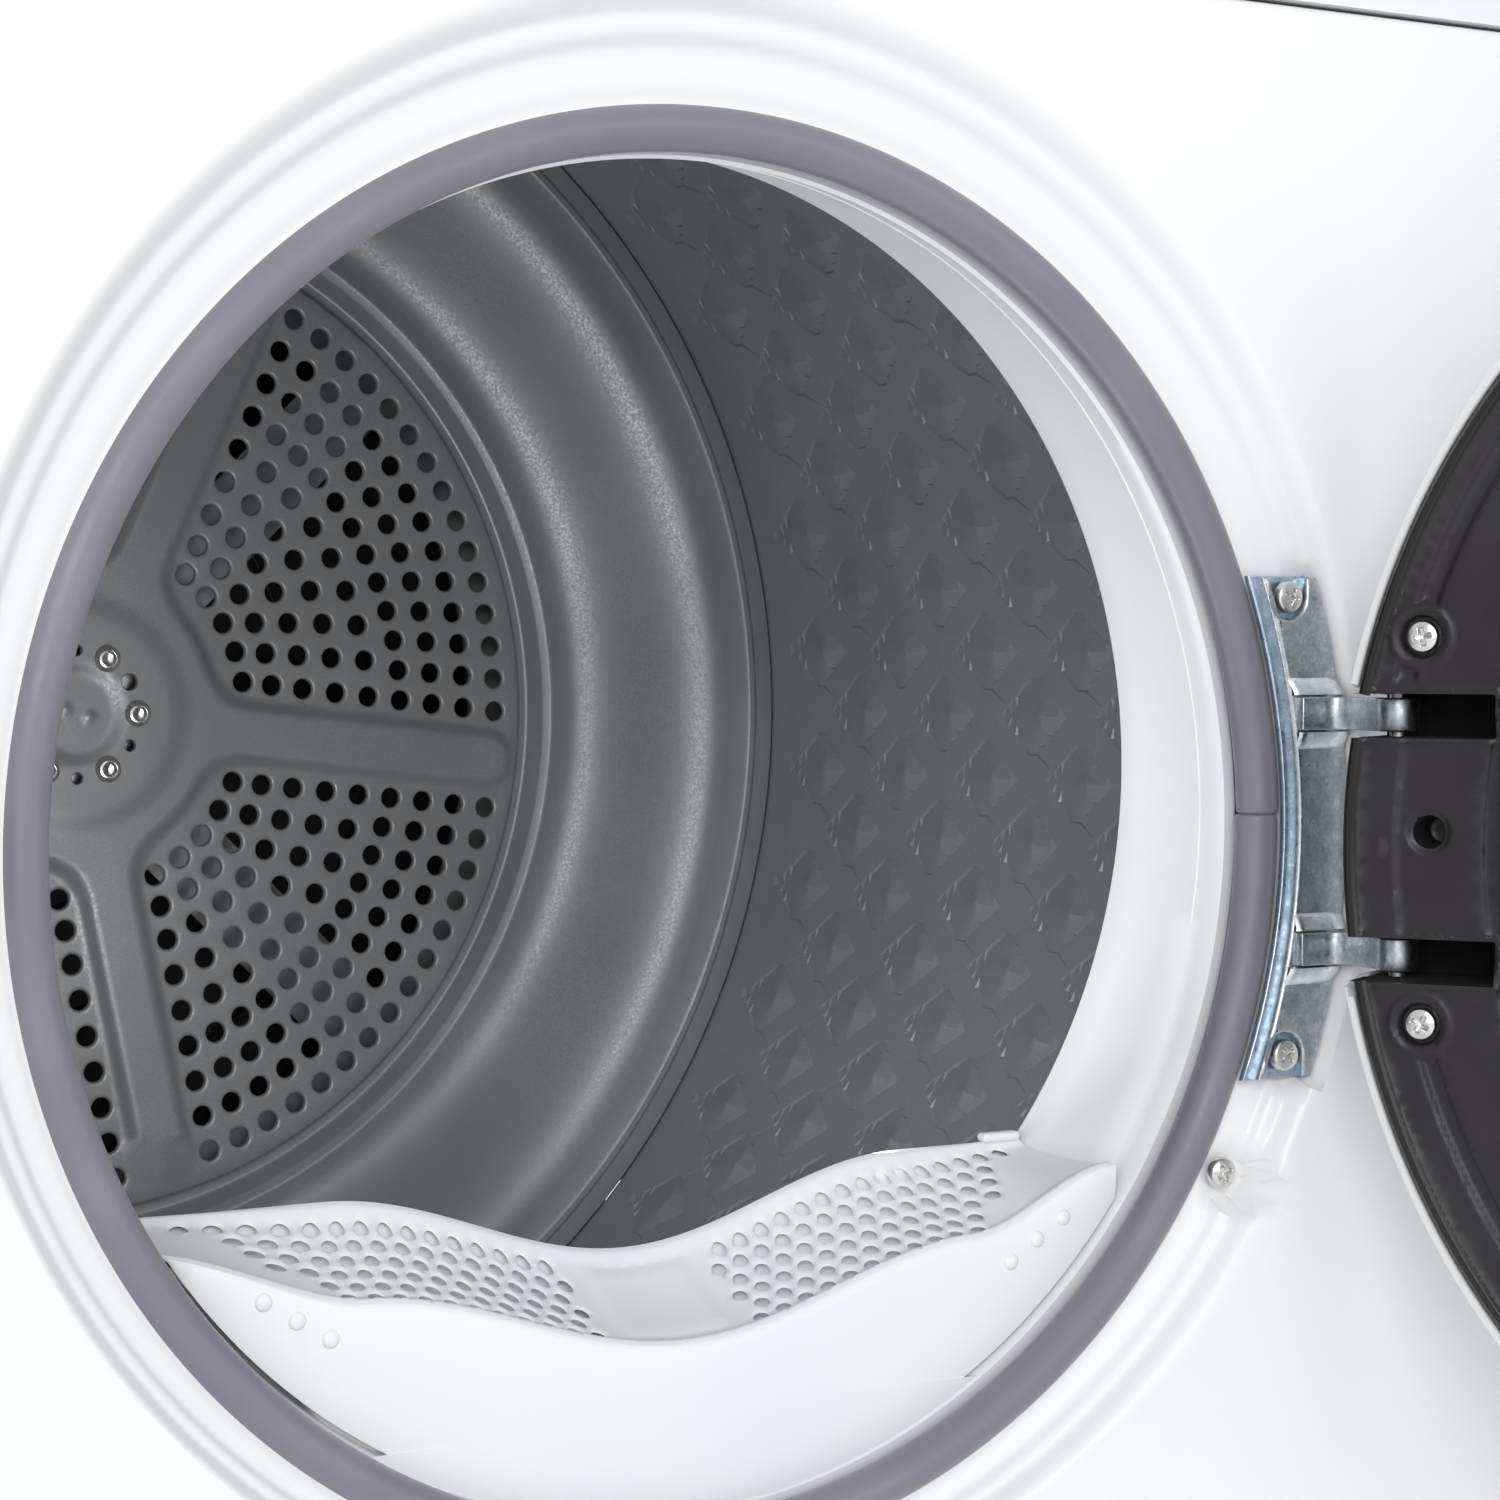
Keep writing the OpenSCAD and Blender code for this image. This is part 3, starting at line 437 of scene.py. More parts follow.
def finish(name, colour, roughness, metallic=0.0, patches=(), shine=None, edges=None, fine=None, **sockets):
    """A node material: patches of colour, range of shine, lighter convex edges (wear and painted edge
    highlight) and fine relief.
    """
    made = bpy.data.materials.new(name)
    made.use_nodes = True
    made.diffuse_color = (*colour, 1)
    settings = {"Base Color": (*colour, 1), "Roughness": roughness, "Metallic": metallic}
    settings |= {key.replace("_", " "): value for key, value in sockets.items()}
    for key, value in settings.items():
        made.node_tree.nodes["Principled BSDF"].inputs[key].default_value = value
    for patch in patches:
        mottle(made, *patch)
    if shine:
        polish(made, *shine)
    if edges:
        wear_and_edge_highlight(made, *edges)
    if fine:
        grain(made, *fine)
    FINISHES[name] = made


def zinc(name, base, light, dark):
    finish(name, base, 0.3, 1.0, [(light, 900, 0.42, 0.62, 3), (dark, 230, 0.42, 0.7, 4)],
           (0.26, 0.42, 500, 3), fine=(1500, 0.03, 3))


finish("white_enamel", (0.83, 0.835, 0.84), 0.32, 0, [((0.815, 0.82, 0.827), 6, 0.4, 0.7)],
       (0.30, 0.35, 12), fine=(420, 0.006, 2, 0.3), Coat_Weight=0.15, Coat_Roughness=0.15)
finish("white_plastic", (0.80, 0.81, 0.82), 0.38, 0, [((0.76, 0.77, 0.785), 9, 0.45, 0.7)],
       (0.33, 0.43, 60), fine=(1500, 0.02, 2, 0.35))
finish("black_plastic", (0.022, 0.022, 0.024), 0.45, 0, [((0.04, 0.04, 0.043), 40, 0.45, 0.65)],
       (0.38, 0.55, 80), fine=(1400, 0.04, 3))
# near-black sheet for the inside of the door's arm slots: painted shade
finish("pocket_painted_shade", (0.004, 0.004, 0.004), 0.9)
# lighter convex edges on the door: wear and painted edge highlight
finish("door_dark", (0.021, 0.0175, 0.0215), 0.36, 0, [((0.026, 0.023, 0.026), 25, 0.45, 0.65)],
       (0.27, 0.4, 90), ((0.06, 0.055, 0.06), 0.5), (1600, 0.02, 3, 0.4), Specular_IOR_Level=0.32)
finish("floor_pale", (0.83, 0.83, 0.83), 0.6, 0, [((0.80, 0.80, 0.80), 1.2, 0.4, 0.7)])
# the door lip's own glossy black, made darker than the door face as painted shade on the turned edge
finish("lip_black_painted_shade", (0.006, 0.0055, 0.006), 0.22)
finish("dark_glass", (0.012, 0.012, 0.014), 0.05, 0, [((0.018, 0.018, 0.021), 8, 0.4, 0.7)],
       (0.04, 0.09, 15), Coat_Weight=1.0, Coat_Roughness=0.02)
finish("clear_window", (0.80, 0.84, 0.86), 0.04, 0, (), (0.03, 0.09, 25),
       Transmission_Weight=0.9, IOR=1.49)
finish("drum_wall_metal", (0.255, 0.271, 0.284), 0.44, 0.15,
       [((0.295, 0.311, 0.324), 1800, 0.42, 0.6, 2), ((0.235, 0.25, 0.262), 12, 0.45, 0.75)],
       (0.38, 0.52, 700), fine=(2600, 0.03, 2))
# lighter convex edges on the back plate: wear and painted edge highlight
finish("drum_back_metal", (0.265, 0.277, 0.288), 0.42, 0.3,
       [((0.315, 0.328, 0.339), 2200, 0.45, 0.6, 2), ((0.245, 0.256, 0.266), 14, 0.4, 0.7)],
       (0.32, 0.48, 900), ((0.40, 0.41, 0.42), 0.35), (1900, 0.05, 2, 0.6))
finish("lifter_plastic", (0.14, 0.15, 0.158), 0.5, 0, [((0.17, 0.18, 0.188), 30, 0.4, 0.65)],
       (0.42, 0.58, 90), fine=(1500, 0.04, 3))
finish("galvanised", (0.55, 0.57, 0.59), 0.42, 0.8,
       [((0.60, 0.62, 0.64), 110, 0.2, 0.6, 3, "ShaderNodeTexVoronoi"),
        ((0.53, 0.548, 0.565), 35, 0.4, 0.65)],
       (0.40, 0.46, 90), fine=(900, 0.01, 2))
zinc("zinc", (0.46, 0.50, 0.52), (0.60, 0.63, 0.65), (0.36, 0.40, 0.43))
zinc("zinc_blue", (0.46, 0.57, 0.69), (0.56, 0.66, 0.77), (0.39, 0.49, 0.61))
# lighter copy of the bracket zinc: painted highlight for the ramps that face the light
zinc("zinc_painted_highlight", (0.80, 0.83, 0.85), (0.9, 0.92, 0.93), (0.68, 0.72, 0.75))
finish("steel", (0.55, 0.56, 0.57), 0.34, 1, [((0.45, 0.455, 0.46), 60, 0.4, 0.65)],
       (0.26, 0.44, 120), fine=(900, 0.03, 3))
finish("chrome_screw", (0.72, 0.71, 0.69), 0.2, 1, [((0.64, 0.63, 0.61), 120, 0.45, 0.65)],
       (0.16, 0.26, 200), fine=(900, 0.008, 2))
finish("grey_rubber", (0.185, 0.178, 0.212), 0.42, 0, [((0.205, 0.197, 0.232), 30, 0.42, 0.65)],
       (0.36, 0.5, 120), fine=(1300, 0.03, 3, 0.4), Sheen_Weight=0.15, Sheen_Roughness=0.5)
finish("black_rubber", (0.02, 0.02, 0.021), 0.65, 0, [((0.045, 0.044, 0.043), 60, 0.45, 0.7)],
       (0.55, 0.75, 90), fine=(1000, 0.08, 3))
finish("felt", (0.62, 0.59, 0.53), 0.95, 0, [((0.5, 0.475, 0.43), 800, 0.4, 0.6, 5)],
       fine=(1500, 0.4, 5, 0.9), Sheen_Weight=0.5)
finish("aluminium_fins", (0.68, 0.69, 0.7), 0.35, 1, [((0.55, 0.56, 0.57), 50, 0.4, 0.7)],
       (0.28, 0.45, 200), fine=(1200, 0.03, 2))
finish("compressor_black", (0.015, 0.015, 0.017), 0.28, 0, (), (0.22, 0.4, 60), fine=(500, 0.05, 3))
finish("board_green", (0.02, 0.12, 0.05), 0.4, 0, [((0.03, 0.17, 0.07), 300, 0.45, 0.55)],
       fine=(900, 0.03, 2))
finish("lever_blue", (0.02, 0.14, 0.42), 0.4, 0, [((0.025, 0.17, 0.48), 40, 0.4, 0.65)],
       (0.34, 0.46, 90), fine=(1500, 0.02, 2))
finish("knob_silver", (0.60, 0.61, 0.63), 0.3, 0.8, [((0.57, 0.58, 0.60), 60, 0.4, 0.65)],
       (0.28, 0.34, 150), fine=(1300, 0.006, 2))
finish("tank_plastic", (0.72, 0.78, 0.82), 0.3, 0, (), (0.28, 0.34, 25), fine=(900, 0.008, 2),
       Transmission_Weight=0.35, IOR=1.45)
finish("display_glow", (0.62, 0.80, 0.88), 0.4,
       Emission_Strength=0.9, Emission_Color=(0.62, 0.85, 0.95, 1))

# ---------- drum ----------

SECTOR = math.radians(72)
SPOKE_TURN = math.radians(-6.5)
INNER_ARCS = (70.8, 82.7, 95.7)
SPOKE_LENGTH = 176
SPOKE_HALF = 8.3
PLATE_R = 188.5
SLOPE_R, SLOPE_Y, SLOPE_WIDTH = 209, BACK_Y - 3.6, 57
LATHE_SIDES = 360


def air_holes():
    """Centres of the air holes about the drum's axis: nine arcs in each of five sectors."""
    found = []
    for sector in range(5):
        for i in range(9):
            r = INNER_ARCS[i] if i < len(INNER_ARCS) else 109.6 + (i - 3) * 14.08
            count = 5 + i if i < 5 else 7 + i
            reach = SECTOR / 2 - math.asin(19.7 / r)
            for k in range(count):
                a = SPOKE_TURN + SECTOR * (sector + 0.5) + reach * (2 * k / (count - 1) - 1)
                found.append((r * math.cos(a), r * math.sin(a)))
    return np.array(found)


def star_distance(x, z):
    """Signed distance to the outline of the raised star, negative inside it."""
    best = np.full(np.shape(x), 1e9)
    for s in range(5):
        a = SPOKE_TURN + SECTOR * s
        along = x * math.cos(a) + z * math.sin(a)
        across = -x * math.sin(a) + z * math.cos(a)
        end = np.clip(along, 0, SPOKE_LENGTH)
        best = np.minimum(best, np.hypot(along - end, across) - SPOKE_HALF - 2.2)
    hub = np.hypot(x, z) - 57.0
    blend_width = 16.0
    h = np.clip(0.5 + 0.5 * (hub - best) / blend_width, 0, 1)
    return hub * (1 - h) + best * h - blend_width * h * (1 - h)


def plate_height(x, z):
    """How far the back plate stands forward of its perforated plane."""
    r = np.hypot(x, z)
    height = 3.6 * smooth_step(-star_distance(x, z), -3.2, 2.8)
    height += 1.2 * (1 - smooth_step(r, 37, 47))
    height -= 1.6 * (1 - smooth_step(r, 14, 21))
    for cx, cz in ((-4.0, 2.0), (5.5, -1.0)):
        height += 0.9 * (1 - smooth_step(np.hypot(x - cx, z - cz), 0.8, 2.6))
    return height


def hex_points(radius, step):
    """Points of a triangular grid within a radius."""
    n = int(radius / step) + 2
    i, j = np.meshgrid(np.arange(-n, n + 1), np.arange(-n, n + 1))
    x = (i + 0.5 * (j % 2)) * step
    z = j * step * math.sqrt(0.75)
    p = np.stack([x.ravel(), z.ravel()], 1)
    return p[np.hypot(p[:, 0], p[:, 1]) < radius]


def outside(points, circles):
    """Which points lie clear of all the circles, each (x, z, radius)."""
    clear = np.ones(len(points), bool)
    for x, z, r in circles:
        clear &= np.hypot(points[:, 0] - x, points[:, 1] - z) > r
    return clear


def triangles(points):
    """Delaunay triangles over loose points."""
    made = delaunay_2d_cdt([Vector(p) for p in points], [], [], 0, 1e-6)
    return np.array([list(v) for v in made[0]]), np.array([list(t) for t in made[2]])


HUB_SCREW_R = 24.4
# between the screws: centre and radius, the first one larger
BETWEEN = np.radians(np.arange(30, 390, 60))
HUB_HOLES = [(*place, r) for place, r in zip(circle_points(HUB_SCREW_R, 0, BETWEEN), (3, 2, 2, 2, 2, 2))]
# radius and depth of the rings that dish the edge of each air hole
HOLE_RINGS = ((3.9, -1.7), (4.02, -0.8), (4.35, -0.22), (4.9, -0.04), (5.6, 0.0))


def back_plate():
    """Perforated disc with its star, then the ridge, slope and flange out to the wall."""
    holes = air_holes()
    fine = hex_points(PLATE_R - 2, 1.7)
    near_star = np.abs(star_distance(*fine.T)) < 6
    coarse = hex_points(PLATE_R - 2, 4.6)
    off_star = (np.abs(star_distance(*coarse.T)) > 7) & (np.hypot(*coarse.T) > 52)
    ground = np.concatenate([fine[near_star | (np.hypot(*fine.T) < 50)], coarse[off_star]])
    dished = [(x, z, 6.3) for x, z in holes] + [(x, z, r + 1.2) for x, z, r in HUB_HOLES]
    sets, drops = [ground[outside(ground, dished)]], [0.0]
    for r, drop in HOLE_RINGS:
        sets.append((holes[:, None, :] + circle(r, n=20)[None]).reshape(-1, 2))
        drops.append(drop)
    for x, z, r in HUB_HOLES:
        for grow, drop in ((0, -1.5), (0.15, -0.5), (0.5, 0.0)):
            sets.append(circle(r + grow, x, z, 20))
            drops.append(drop)
    sets.append(circle(PLATE_R, n=LATHE_SIDES))
    drops.append(0.0)
    flat = np.concatenate(sets)
    drop = np.repeat(drops, [len(p) for p in sets])
    points, faces = triangles(flat)
    openings = [(x, z, HOLE_RINGS[0][0]) for x, z in holes] + HUB_HOLES
    faces = faces[outside(points[faces].mean(1), [(x, z, r - 0.05) for x, z, r in openings])]
    height = plate_height(*flat.T) + drop
    disc = np.stack([flat[:, 0], BACK_Y - height, AXIS_Z + flat[:, 1]], 1), faces.tolist()
    ridge = rounded([
        (PLATE_R, BACK_Y), (190.8, BACK_Y + 0.6), (193.0, BACK_Y + 4.4), (196.7, BACK_Y + 4.4),
        (200.6, BACK_Y - 2.2), (203.8, BACK_Y - 4.6), (SLOPE_R, SLOPE_Y)], [0, 1.5, 2, 2, 3, 2.5, 0], 5)
    run = np.linspace(0, 1, 33)[1:]
    rise = (SLOPE_Y - SKIRT_Y) * (1 - np.cos(math.pi * run)) / 2
    slope = np.stack([SLOPE_R + SLOPE_WIDTH * run, SLOPE_Y - rise], 1)
    flange = rounded([(274.5, SKIRT_Y), (276, SKIRT_Y - 0.9), (278, SKIRT_Y - 0.9), (279.5, SKIRT_Y),
                      (DRUM_R - 0.3, SKIRT_Y), (DRUM_R - 0.3, SKIRT_Y + 4), (DRUM_R + 1.2, SKIRT_Y + 5)],
                     [0, 0.8, 0.8, 0.8, 0.9, 0.3, 0], 3)
    return join(disc, lathe(np.concatenate([ridge, slope, flange]), n=LATHE_SIDES))


new_piece("drum_back", back_plate(), "drum", "drum_back_metal", ["drum_back_plate"], sharp=50, weld=0.02)


def painted_shade_duct_liner():
    """Black lining of the rear duct behind the air holes, with its stiffening ribs: a dark cup put there as
    painted shade, so the holes read dark.
    """
    front, back, outer_r = 230, 288.8, 200.2
    floor_y = back - 1.5
    cup = lathe([(0.5, floor_y), (outer_r - 1.2, floor_y), (outer_r - 1.2, front), (outer_r, front),
                 (outer_r, back), (0.5, back)], closed=True)
    rib = np.array([(-1.6, 0.2), (-0.8, -3.8), (0.8, -3.8), (1.6, 0.2)]) + [0, floor_y]
    ribs = [lathe(rounded(rib + [r, 0], 0.6, 2)) for r in (85, 128, 166)]
    return join(cup, *ribs)


# black cup seen through the air holes: painted shade
new_piece("painted_shade_duct_liner", painted_shade_duct_liner(), "cabinet", "black_plastic", sharp=40)

COLUMNS = 38
ROW_PITCH = 29.3
FIRST_ROW_Y = BACK_Y - 79
ROWS = 12
PEAK_FORWARD = 9.5


def wall_cell():
    """Outline rings of one embossed cell about its centre (arc, forward), with their heights inward."""
    corners = np.array([(0, 20), (14, 2.4), (14, -2.4), (0, -20), (-14, -2.4), (-14, 2.4), (0, 20)], float)
    share = np.arange(4)[:, None] / 4
    outline = np.concatenate([a + (b - a) * share for a, b in zip(corners[:-1], corners[1:])])
    levels = [(1.035, 0.0), (0.985, -0.85)] + [(s, -0.85 + 3.6 * (1 - s)) for s in (0.8, 0.6, 0.4)]
    levels += [(0.24, 2.25), (0.12, 3.0)]
    points = [outline * scale + [0, PEAK_FORWARD * (1 - scale)] for scale, _ in levels]
    heights = np.repeat([height for _, height in levels], len(outline))
    return np.concatenate(points + [[[0, PEAK_FORWARD]]]), np.append(heights, 3.4)


def drum_wall():
    """Embossed inner wall, repeated round the drum, with its plain bands, shoulder, neck and outside."""
    pitch = 2 * math.pi * DRUM_R / COLUMNS
    cell, cell_height = wall_cell()
    back_edge, front_edge = BACK_Y - 44, MOUTH_Y - 0.6
    local, height = [], []
    for row in range(ROWS):
        p = cell + [0.5 * pitch * (row % 2 == 0), row * ROW_PITCH - FIRST_ROW_Y]
        keep = (p[:, 1] > 1.5 - back_edge) & (p[:, 1] < -1.5 - front_edge)
        local.append(p[keep])
        height.append(cell_height[keep])
    per_band = 12
    first = 0.13 * pitch / per_band
    for y in (back_edge, back_edge - 7, back_edge - 12, front_edge):
        local.append(np.stack([first + np.arange(per_band) * pitch / per_band, np.full(per_band, -y)], 1))
        height.append(np.zeros(per_band))
    local, height = np.concatenate(local), np.concatenate(height)
    n = len(local)
    # a hair of unevenness keeps the triangulation from meeting four points on one circle
    uneven = 0.02 * np.stack([np.sin(np.arange(n) * 1.7), np.cos(np.arange(n) * 2.3)], 1)
    uneven[np.isin(np.round(local[:, 1], 3), np.round([-back_edge, -front_edge], 3))] = 0
    copies = range(-2, 4)
    points, faces = triangles(np.concatenate([local + uneven + [c * pitch, 0] for c in copies]))
    across = points[faces][:, :, 0].mean(1)
    faces = faces[(across >= 0) & (across < pitch)]
    copy_of, id_of = faces // n + copies[0], faces % n
    all_faces = np.concatenate([((copy_of + c) % COLUMNS) * n + id_of for c in range(COLUMNS)])
    theta = np.concatenate([(local[:, 0] + c * pitch) / DRUM_R for c in range(COLUMNS)])
    inner = around(DRUM_R - np.tile(height, COLUMNS), -np.tile(local[:, 1], COLUMNS), theta, AXIS_Z)
    neck_r, outer_r = 250, DRUM_R + SHEET
    shoulder = rounded([(DRUM_R, front_edge), (DRUM_R - 1.5, MOUTH_Y - 1.5), (neck_r, MOUTH_Y - 5.6),
                        (neck_r, NECK_Y), (neck_r + SHEET, NECK_Y), (neck_r + SHEET, MOUTH_Y - 7.4),
                        (outer_r, MOUTH_Y - 2), (outer_r, back_edge + 3), (DRUM_R, back_edge + 3),
                        (DRUM_R, back_edge)], [0, 1, 2, 0.5, 0.5, 3, 3, 0.5, 0.5, 0], 3)
    return join((inner, all_faces.tolist()), lathe(shoulder, n=COLUMNS * per_band, start=first / DRUM_R))


new_piece("drum_wall", drum_wall(), "drum", "drum_wall_metal", ["drum_shell"], sharp=35, weld=0.01)


def hub_screw_heads():
    """Button-head screws with a round socket."""
    top = BACK_Y - 4.5
    head = rounded([(5.2, 0), (5.15, -1.0), (4.2, -2.5), (3.0, -2.8), (2.6, -2.5), (2.4, -0.9), (0.01, -0.7)],
                   [0, 0.8, 1.2, 0.4, 0.3, 0.4, 0], 3) + [0, top]
    shank = [(2.5, top + 0.2), (2.5, top + 7)]
    return join(*[lathe(profile, z, x, n) for x, z in circle(HUB_SCREW_R, 0, AXIS_Z, 6)
                  for profile, n in ((head, 36), (shank, 24))])


new_piece("hub_screw_heads", hub_screw_heads(), "drum", "chrome_screw", ["hub_screws"], sharp=50)


def lifters():
    """Three rounded paddles with tapered ends."""
    low, high = box("drum_lifters")
    rows = []
    for y in np.linspace(low[1], high[1], 60):
        end = min(y - low[1], high[1] - y)
        rise = 48.5 * smooth_step(end, -6, 42) * (1 + 0.02 * math.sin(end / 7))
        half = 27 + 5 * smooth_step(end, 0, 40)
        s = np.linspace(-1, 1, 33)
        bulge = 0.86 * np.exp(-(s * half / 13.5) ** 2) + 0.14 * (1 - s * s)
        rows.append(np.stack([DRUM_R - 1.2 - rise * bulge, np.full(33, y), s * half], -1))
    points, faces = grid(np.array(rows))
    return join(*[(points @ turn_y(math.radians(a)).T + [0, 0, AXIS_Z], faces) for a in (60, 180, 300)])


paddles = new_piece("lifter_paddles", lifters(), "drum", "lifter_plastic", ["drum_lifters"], sharp=60)
thick = paddles.modifiers.new("wall", "SOLIDIFY")
thick.thickness = 2.2 * MM
thick.offset = 0

# ---------- mouth: throat, seal, front panel ----------

THROAT_REAR = (171.2, AXIS_Z - 9.6, MOUTH_Y)
THROAT_FRONT = (178.2, MOUTH_Z, FRONT_Y + 24)
POCKET_Y = FRONT_Y + 40


def throat_at(t, grow=0.0):
    """Radius, centre height and Y of the throat from its rear edge (0) to the seal (1)."""
    r, z, y = (a + (b - a) * t for a, b in zip(THROAT_REAR, THROAT_FRONT))
    return r + grow, z, y


def skewed(rows, n=192, widest=9.5):
    """Surface through eccentric circles, each (radius, centre z, y), wider towards the rear on the left."""
    angles = 2 * math.pi * np.arange(n)[:, None] / n
    r, z, y = np.array(rows, float).T
    toward_rear = np.clip((y - THROAT_FRONT[2]) / (THROAT_REAR[2] - THROAT_FRONT[2]), 0, 1)
    reach = r + widest * smooth_step(-np.cos(angles), 0.2, 0.72) * toward_rear
    return grid(around(reach, y, angles, z), wrap_u=True, wrap_v=True)


def throat():
    """White ring from the drum to the seal, with a parting line and a flange behind the front."""
    r, z, y = throat_at(0)
    bend = np.linspace(0, math.pi, 9)
    rows = [throat_at(0, 2.5)] + [(r + 1.25 + 1.25 * math.cos(a), z, y + math.sin(a)) for a in bend]
    rows += [throat_at(t) for t in (0.2, 0.4, 0.6, 0.8)]
    rows += [throat_at(t, 0.3) for t in (0.807, 0.9, 1)]
    r, z, y = THROAT_FRONT
    rows += [(r + 1.2, z, y - 1.2), (r + 5, z, y - 1.2), (r + 5, z, y + 1), (r + 2.8, z, y + 1)]
    points, faces = skewed(rows, 256)
    x, y, z = np.array([points[f].mean(0) for f in faces]).T
    filter_slot = (np.abs(x) < 111) & (np.abs(y - POCKET_Y) < 14) & (z < AXIS_Z - 60)
    liner = points, [f for f, gone in zip(faces, filter_slot) if not gone]
    low, high = box("front_shield")
    outer = (high[0] - low[0]) / 2
    front, back, step = FRONT_Y + 32.4, FRONT_Y + 35, FRONT_Y + 36.4
    profile = rounded([(179, front), (236, front), (240, step), (outer - 8, step), (outer - 4, front + 0.2),
                       (outer, front + 0.2), (outer, back), (outer - 3, back), (outer - 7, back + 3.6),
                       (246, back + 3.6), (246, back + 20), (243, back + 20), (243, back + 3), (236, back),
                       (179, back)], 1.0, 2, closed=True)
    # the inner edge follows the liner, the rest the drum
    flange = skewed([(r, AXIS_Z - 21.5 * (r < 200), y) for r, y in profile], widest=0)
    return join(liner, flange)


def middle_box(half_x, half_y, r):
    """Outline about the middle of the filter pocket, seen from above."""
    return rectangle(-half_x, half_x, POCKET_Y - half_y, POCKET_Y + half_y, r)


def pocket():
    """Box that holds the lint filter, below the throat."""
    x, bottom, top = 112.5, AXIS_Z - 208.5, AXIS_Z - 178
    outer, inner, base = (middle_box(x - step, 16.5 - step, r) for step, r in ((0, 4), (2.5, 3), (1, 3)))
    return join(lying(outer, bottom, top, holes=[inner]), lying(base, bottom, bottom + 2.5))


new_piece("throat_ring", throat(), "cabinet", "white_plastic", ["front_shield"], sharp=40)
new_piece("filter_pocket", pocket(), "cabinet", "white_plastic")

SEAL_JOINT = 0.0127


def seal():
    """Rubber tube with a butt joint on the hinge side."""
    near = [0.02, 0.1, 0.2, 0.32, 0.46, 0.62, 0.8, 1.05, 1.4, 1.9, 2.6]
    round_way = 2 * math.pi * SEAL_R
    arcs = [-a for a in near[::-1]] + near + list(np.linspace(4.5, round_way - 4.5, 470))
    b = 2 * math.pi * np.arange(40) / 40
    rows = []
    for arc in arcs:
        a = SEAL_JOINT + arc / SEAL_R
        off = arc if arc < round_way / 2 else arc - round_way
        pinch = 0.75 * math.exp(-(off / 0.3) ** 2) + 0.2 * math.exp(-(off / 1.3) ** 2)
        step = 0.25 * math.copysign(1, off) * math.exp(-(off / 22) ** 2)
        tube = SEAL_TUBE - 0.15 - pinch
        # the half towards the drum is a little flatter
        r = SEAL_R + step + tube * np.cos(b) * (1 - 0.12 * np.clip(-np.sin(b), 0, 1) ** 2)
        rows.append(around(r, SEAL_Y - tube * np.sin(b), a, MOUTH_Z))
    return grid(np.array(rows), wrap_u=True, wrap_v=True)


new_piece("seal_tube", seal(), "cabinet", "grey_rubber", ["door_seal"], sharp=50)

PANEL_SCREW = (169.2, MOUTH_Z - 100.5)


# ridges of the pressed recess: (share of the way from the floor to the flat panel, depth)
RECESS = np.array([(0.0, 13.2), (0.10, 13.0), (0.16, 12.2), (0.24, 11.6), (0.40, 10.6), (0.50, 9.8),
                   (0.58, 7.4), (0.66, 6.6), (0.76, 6.0), (0.84, 3.2), (0.92, 0.9), (1.0, 0.0)])


def front_panel():
    """Front of the cabinet: flat panel with rolled edges and the pressed recess round the opening."""
    low, high = box("front_panel")
    inner_r = SEAL_R + 4.2
    share = np.linspace(0, 1, 41)
    depth = np.interp(share, *RECESS.T)
    depth = np.convolve(np.pad(depth, 2, mode="edge"), np.array([1, 3, 4, 3, 1]) / 12, "valid")
    quarter = np.linspace(0, math.pi / 2, 6)
    rows = []
    for a in 2 * math.pi * np.arange(384) / 384 + 0.0001:
        way = np.array([math.cos(a), math.sin(a)])
        # how far this way the recess circle is, and the edge of the sheet
        drop = (MOUTH_Z - RECESS_Z) * way[1]
        reach = math.sqrt(drop ** 2 - (MOUTH_Z - RECESS_Z) ** 2 + RECESS_R ** 2) - drop
        to_side = high[0] / abs(way[0])
        to_end = ((high[2] if way[1] > 0 else low[2]) - MOUTH_Z) / way[1]
        far = min(to_side, to_end)
        turned = 0 if to_side <= to_end else 1
        row = [(inner_r + (reach - inner_r) * t, d) for t, d in zip(share, depth)]
        row += [(reach + (far - 2 - reach) * t, 0.0) for t in (0.03, 0.1, 0.3, 0.6, 0.9)]
        places = [[*(way * distance), d] for distance, d in row]
        # rounding over the edge; at the sides the fold then runs just inside the side panel
        folds = [(1.9 * (1 - math.sin(t)), 1.8 * (1 - math.cos(t))) for t in quarter]
        tuck = 0 if turned else 1.7
        for pull, d in folds + [(tuck, 1.95), (tuck, 11.5)]:
            corner = way * far
            corner[turned] -= math.copysign(pull, way[turned])
            places.append([*corner, d])
        rows.append([[x, FRONT_Y + d, MOUTH_Z + h] for x, h, d in places])
    points = np.array(rows)
    x, y, h = points[..., 0], points[..., 1], points[..., 2] - MOUTH_Z
    # round dimple that seats the panel screw
    away = np.hypot(x - PANEL_SCREW[0] - 2.5, points[..., 2] - PANEL_SCREW[1] + 1)
    dimple = 1 - smooth_step(away, 7.2, 10.5)
    y = y * (1 - dimple) + (FRONT_Y + 13.8) * dimple
    # flat seat under the hinge bracket
    seat = smooth_step(h, -77, -74.5) * (1 - smooth_step(h, 71.5, 74)) * (x > 0)
    seat = seat * (1 - smooth_step(np.hypot(x, h), 209.5, 212))
    points[..., 1] = y * (1 - seat) + np.maximum(y, FRONT_Y + 10.4) * seat
    flat, faces = grid(points, wrap_u=True)
    x, y, z = np.array([flat[f].mean(0) for f in faces]).T
    latch_hole = (x < -195.5) & (x > -211) & (np.abs(z - MOUTH_Z) < 13.4)
    return flat, [f for f, gone in zip(faces, latch_hole) if not gone]


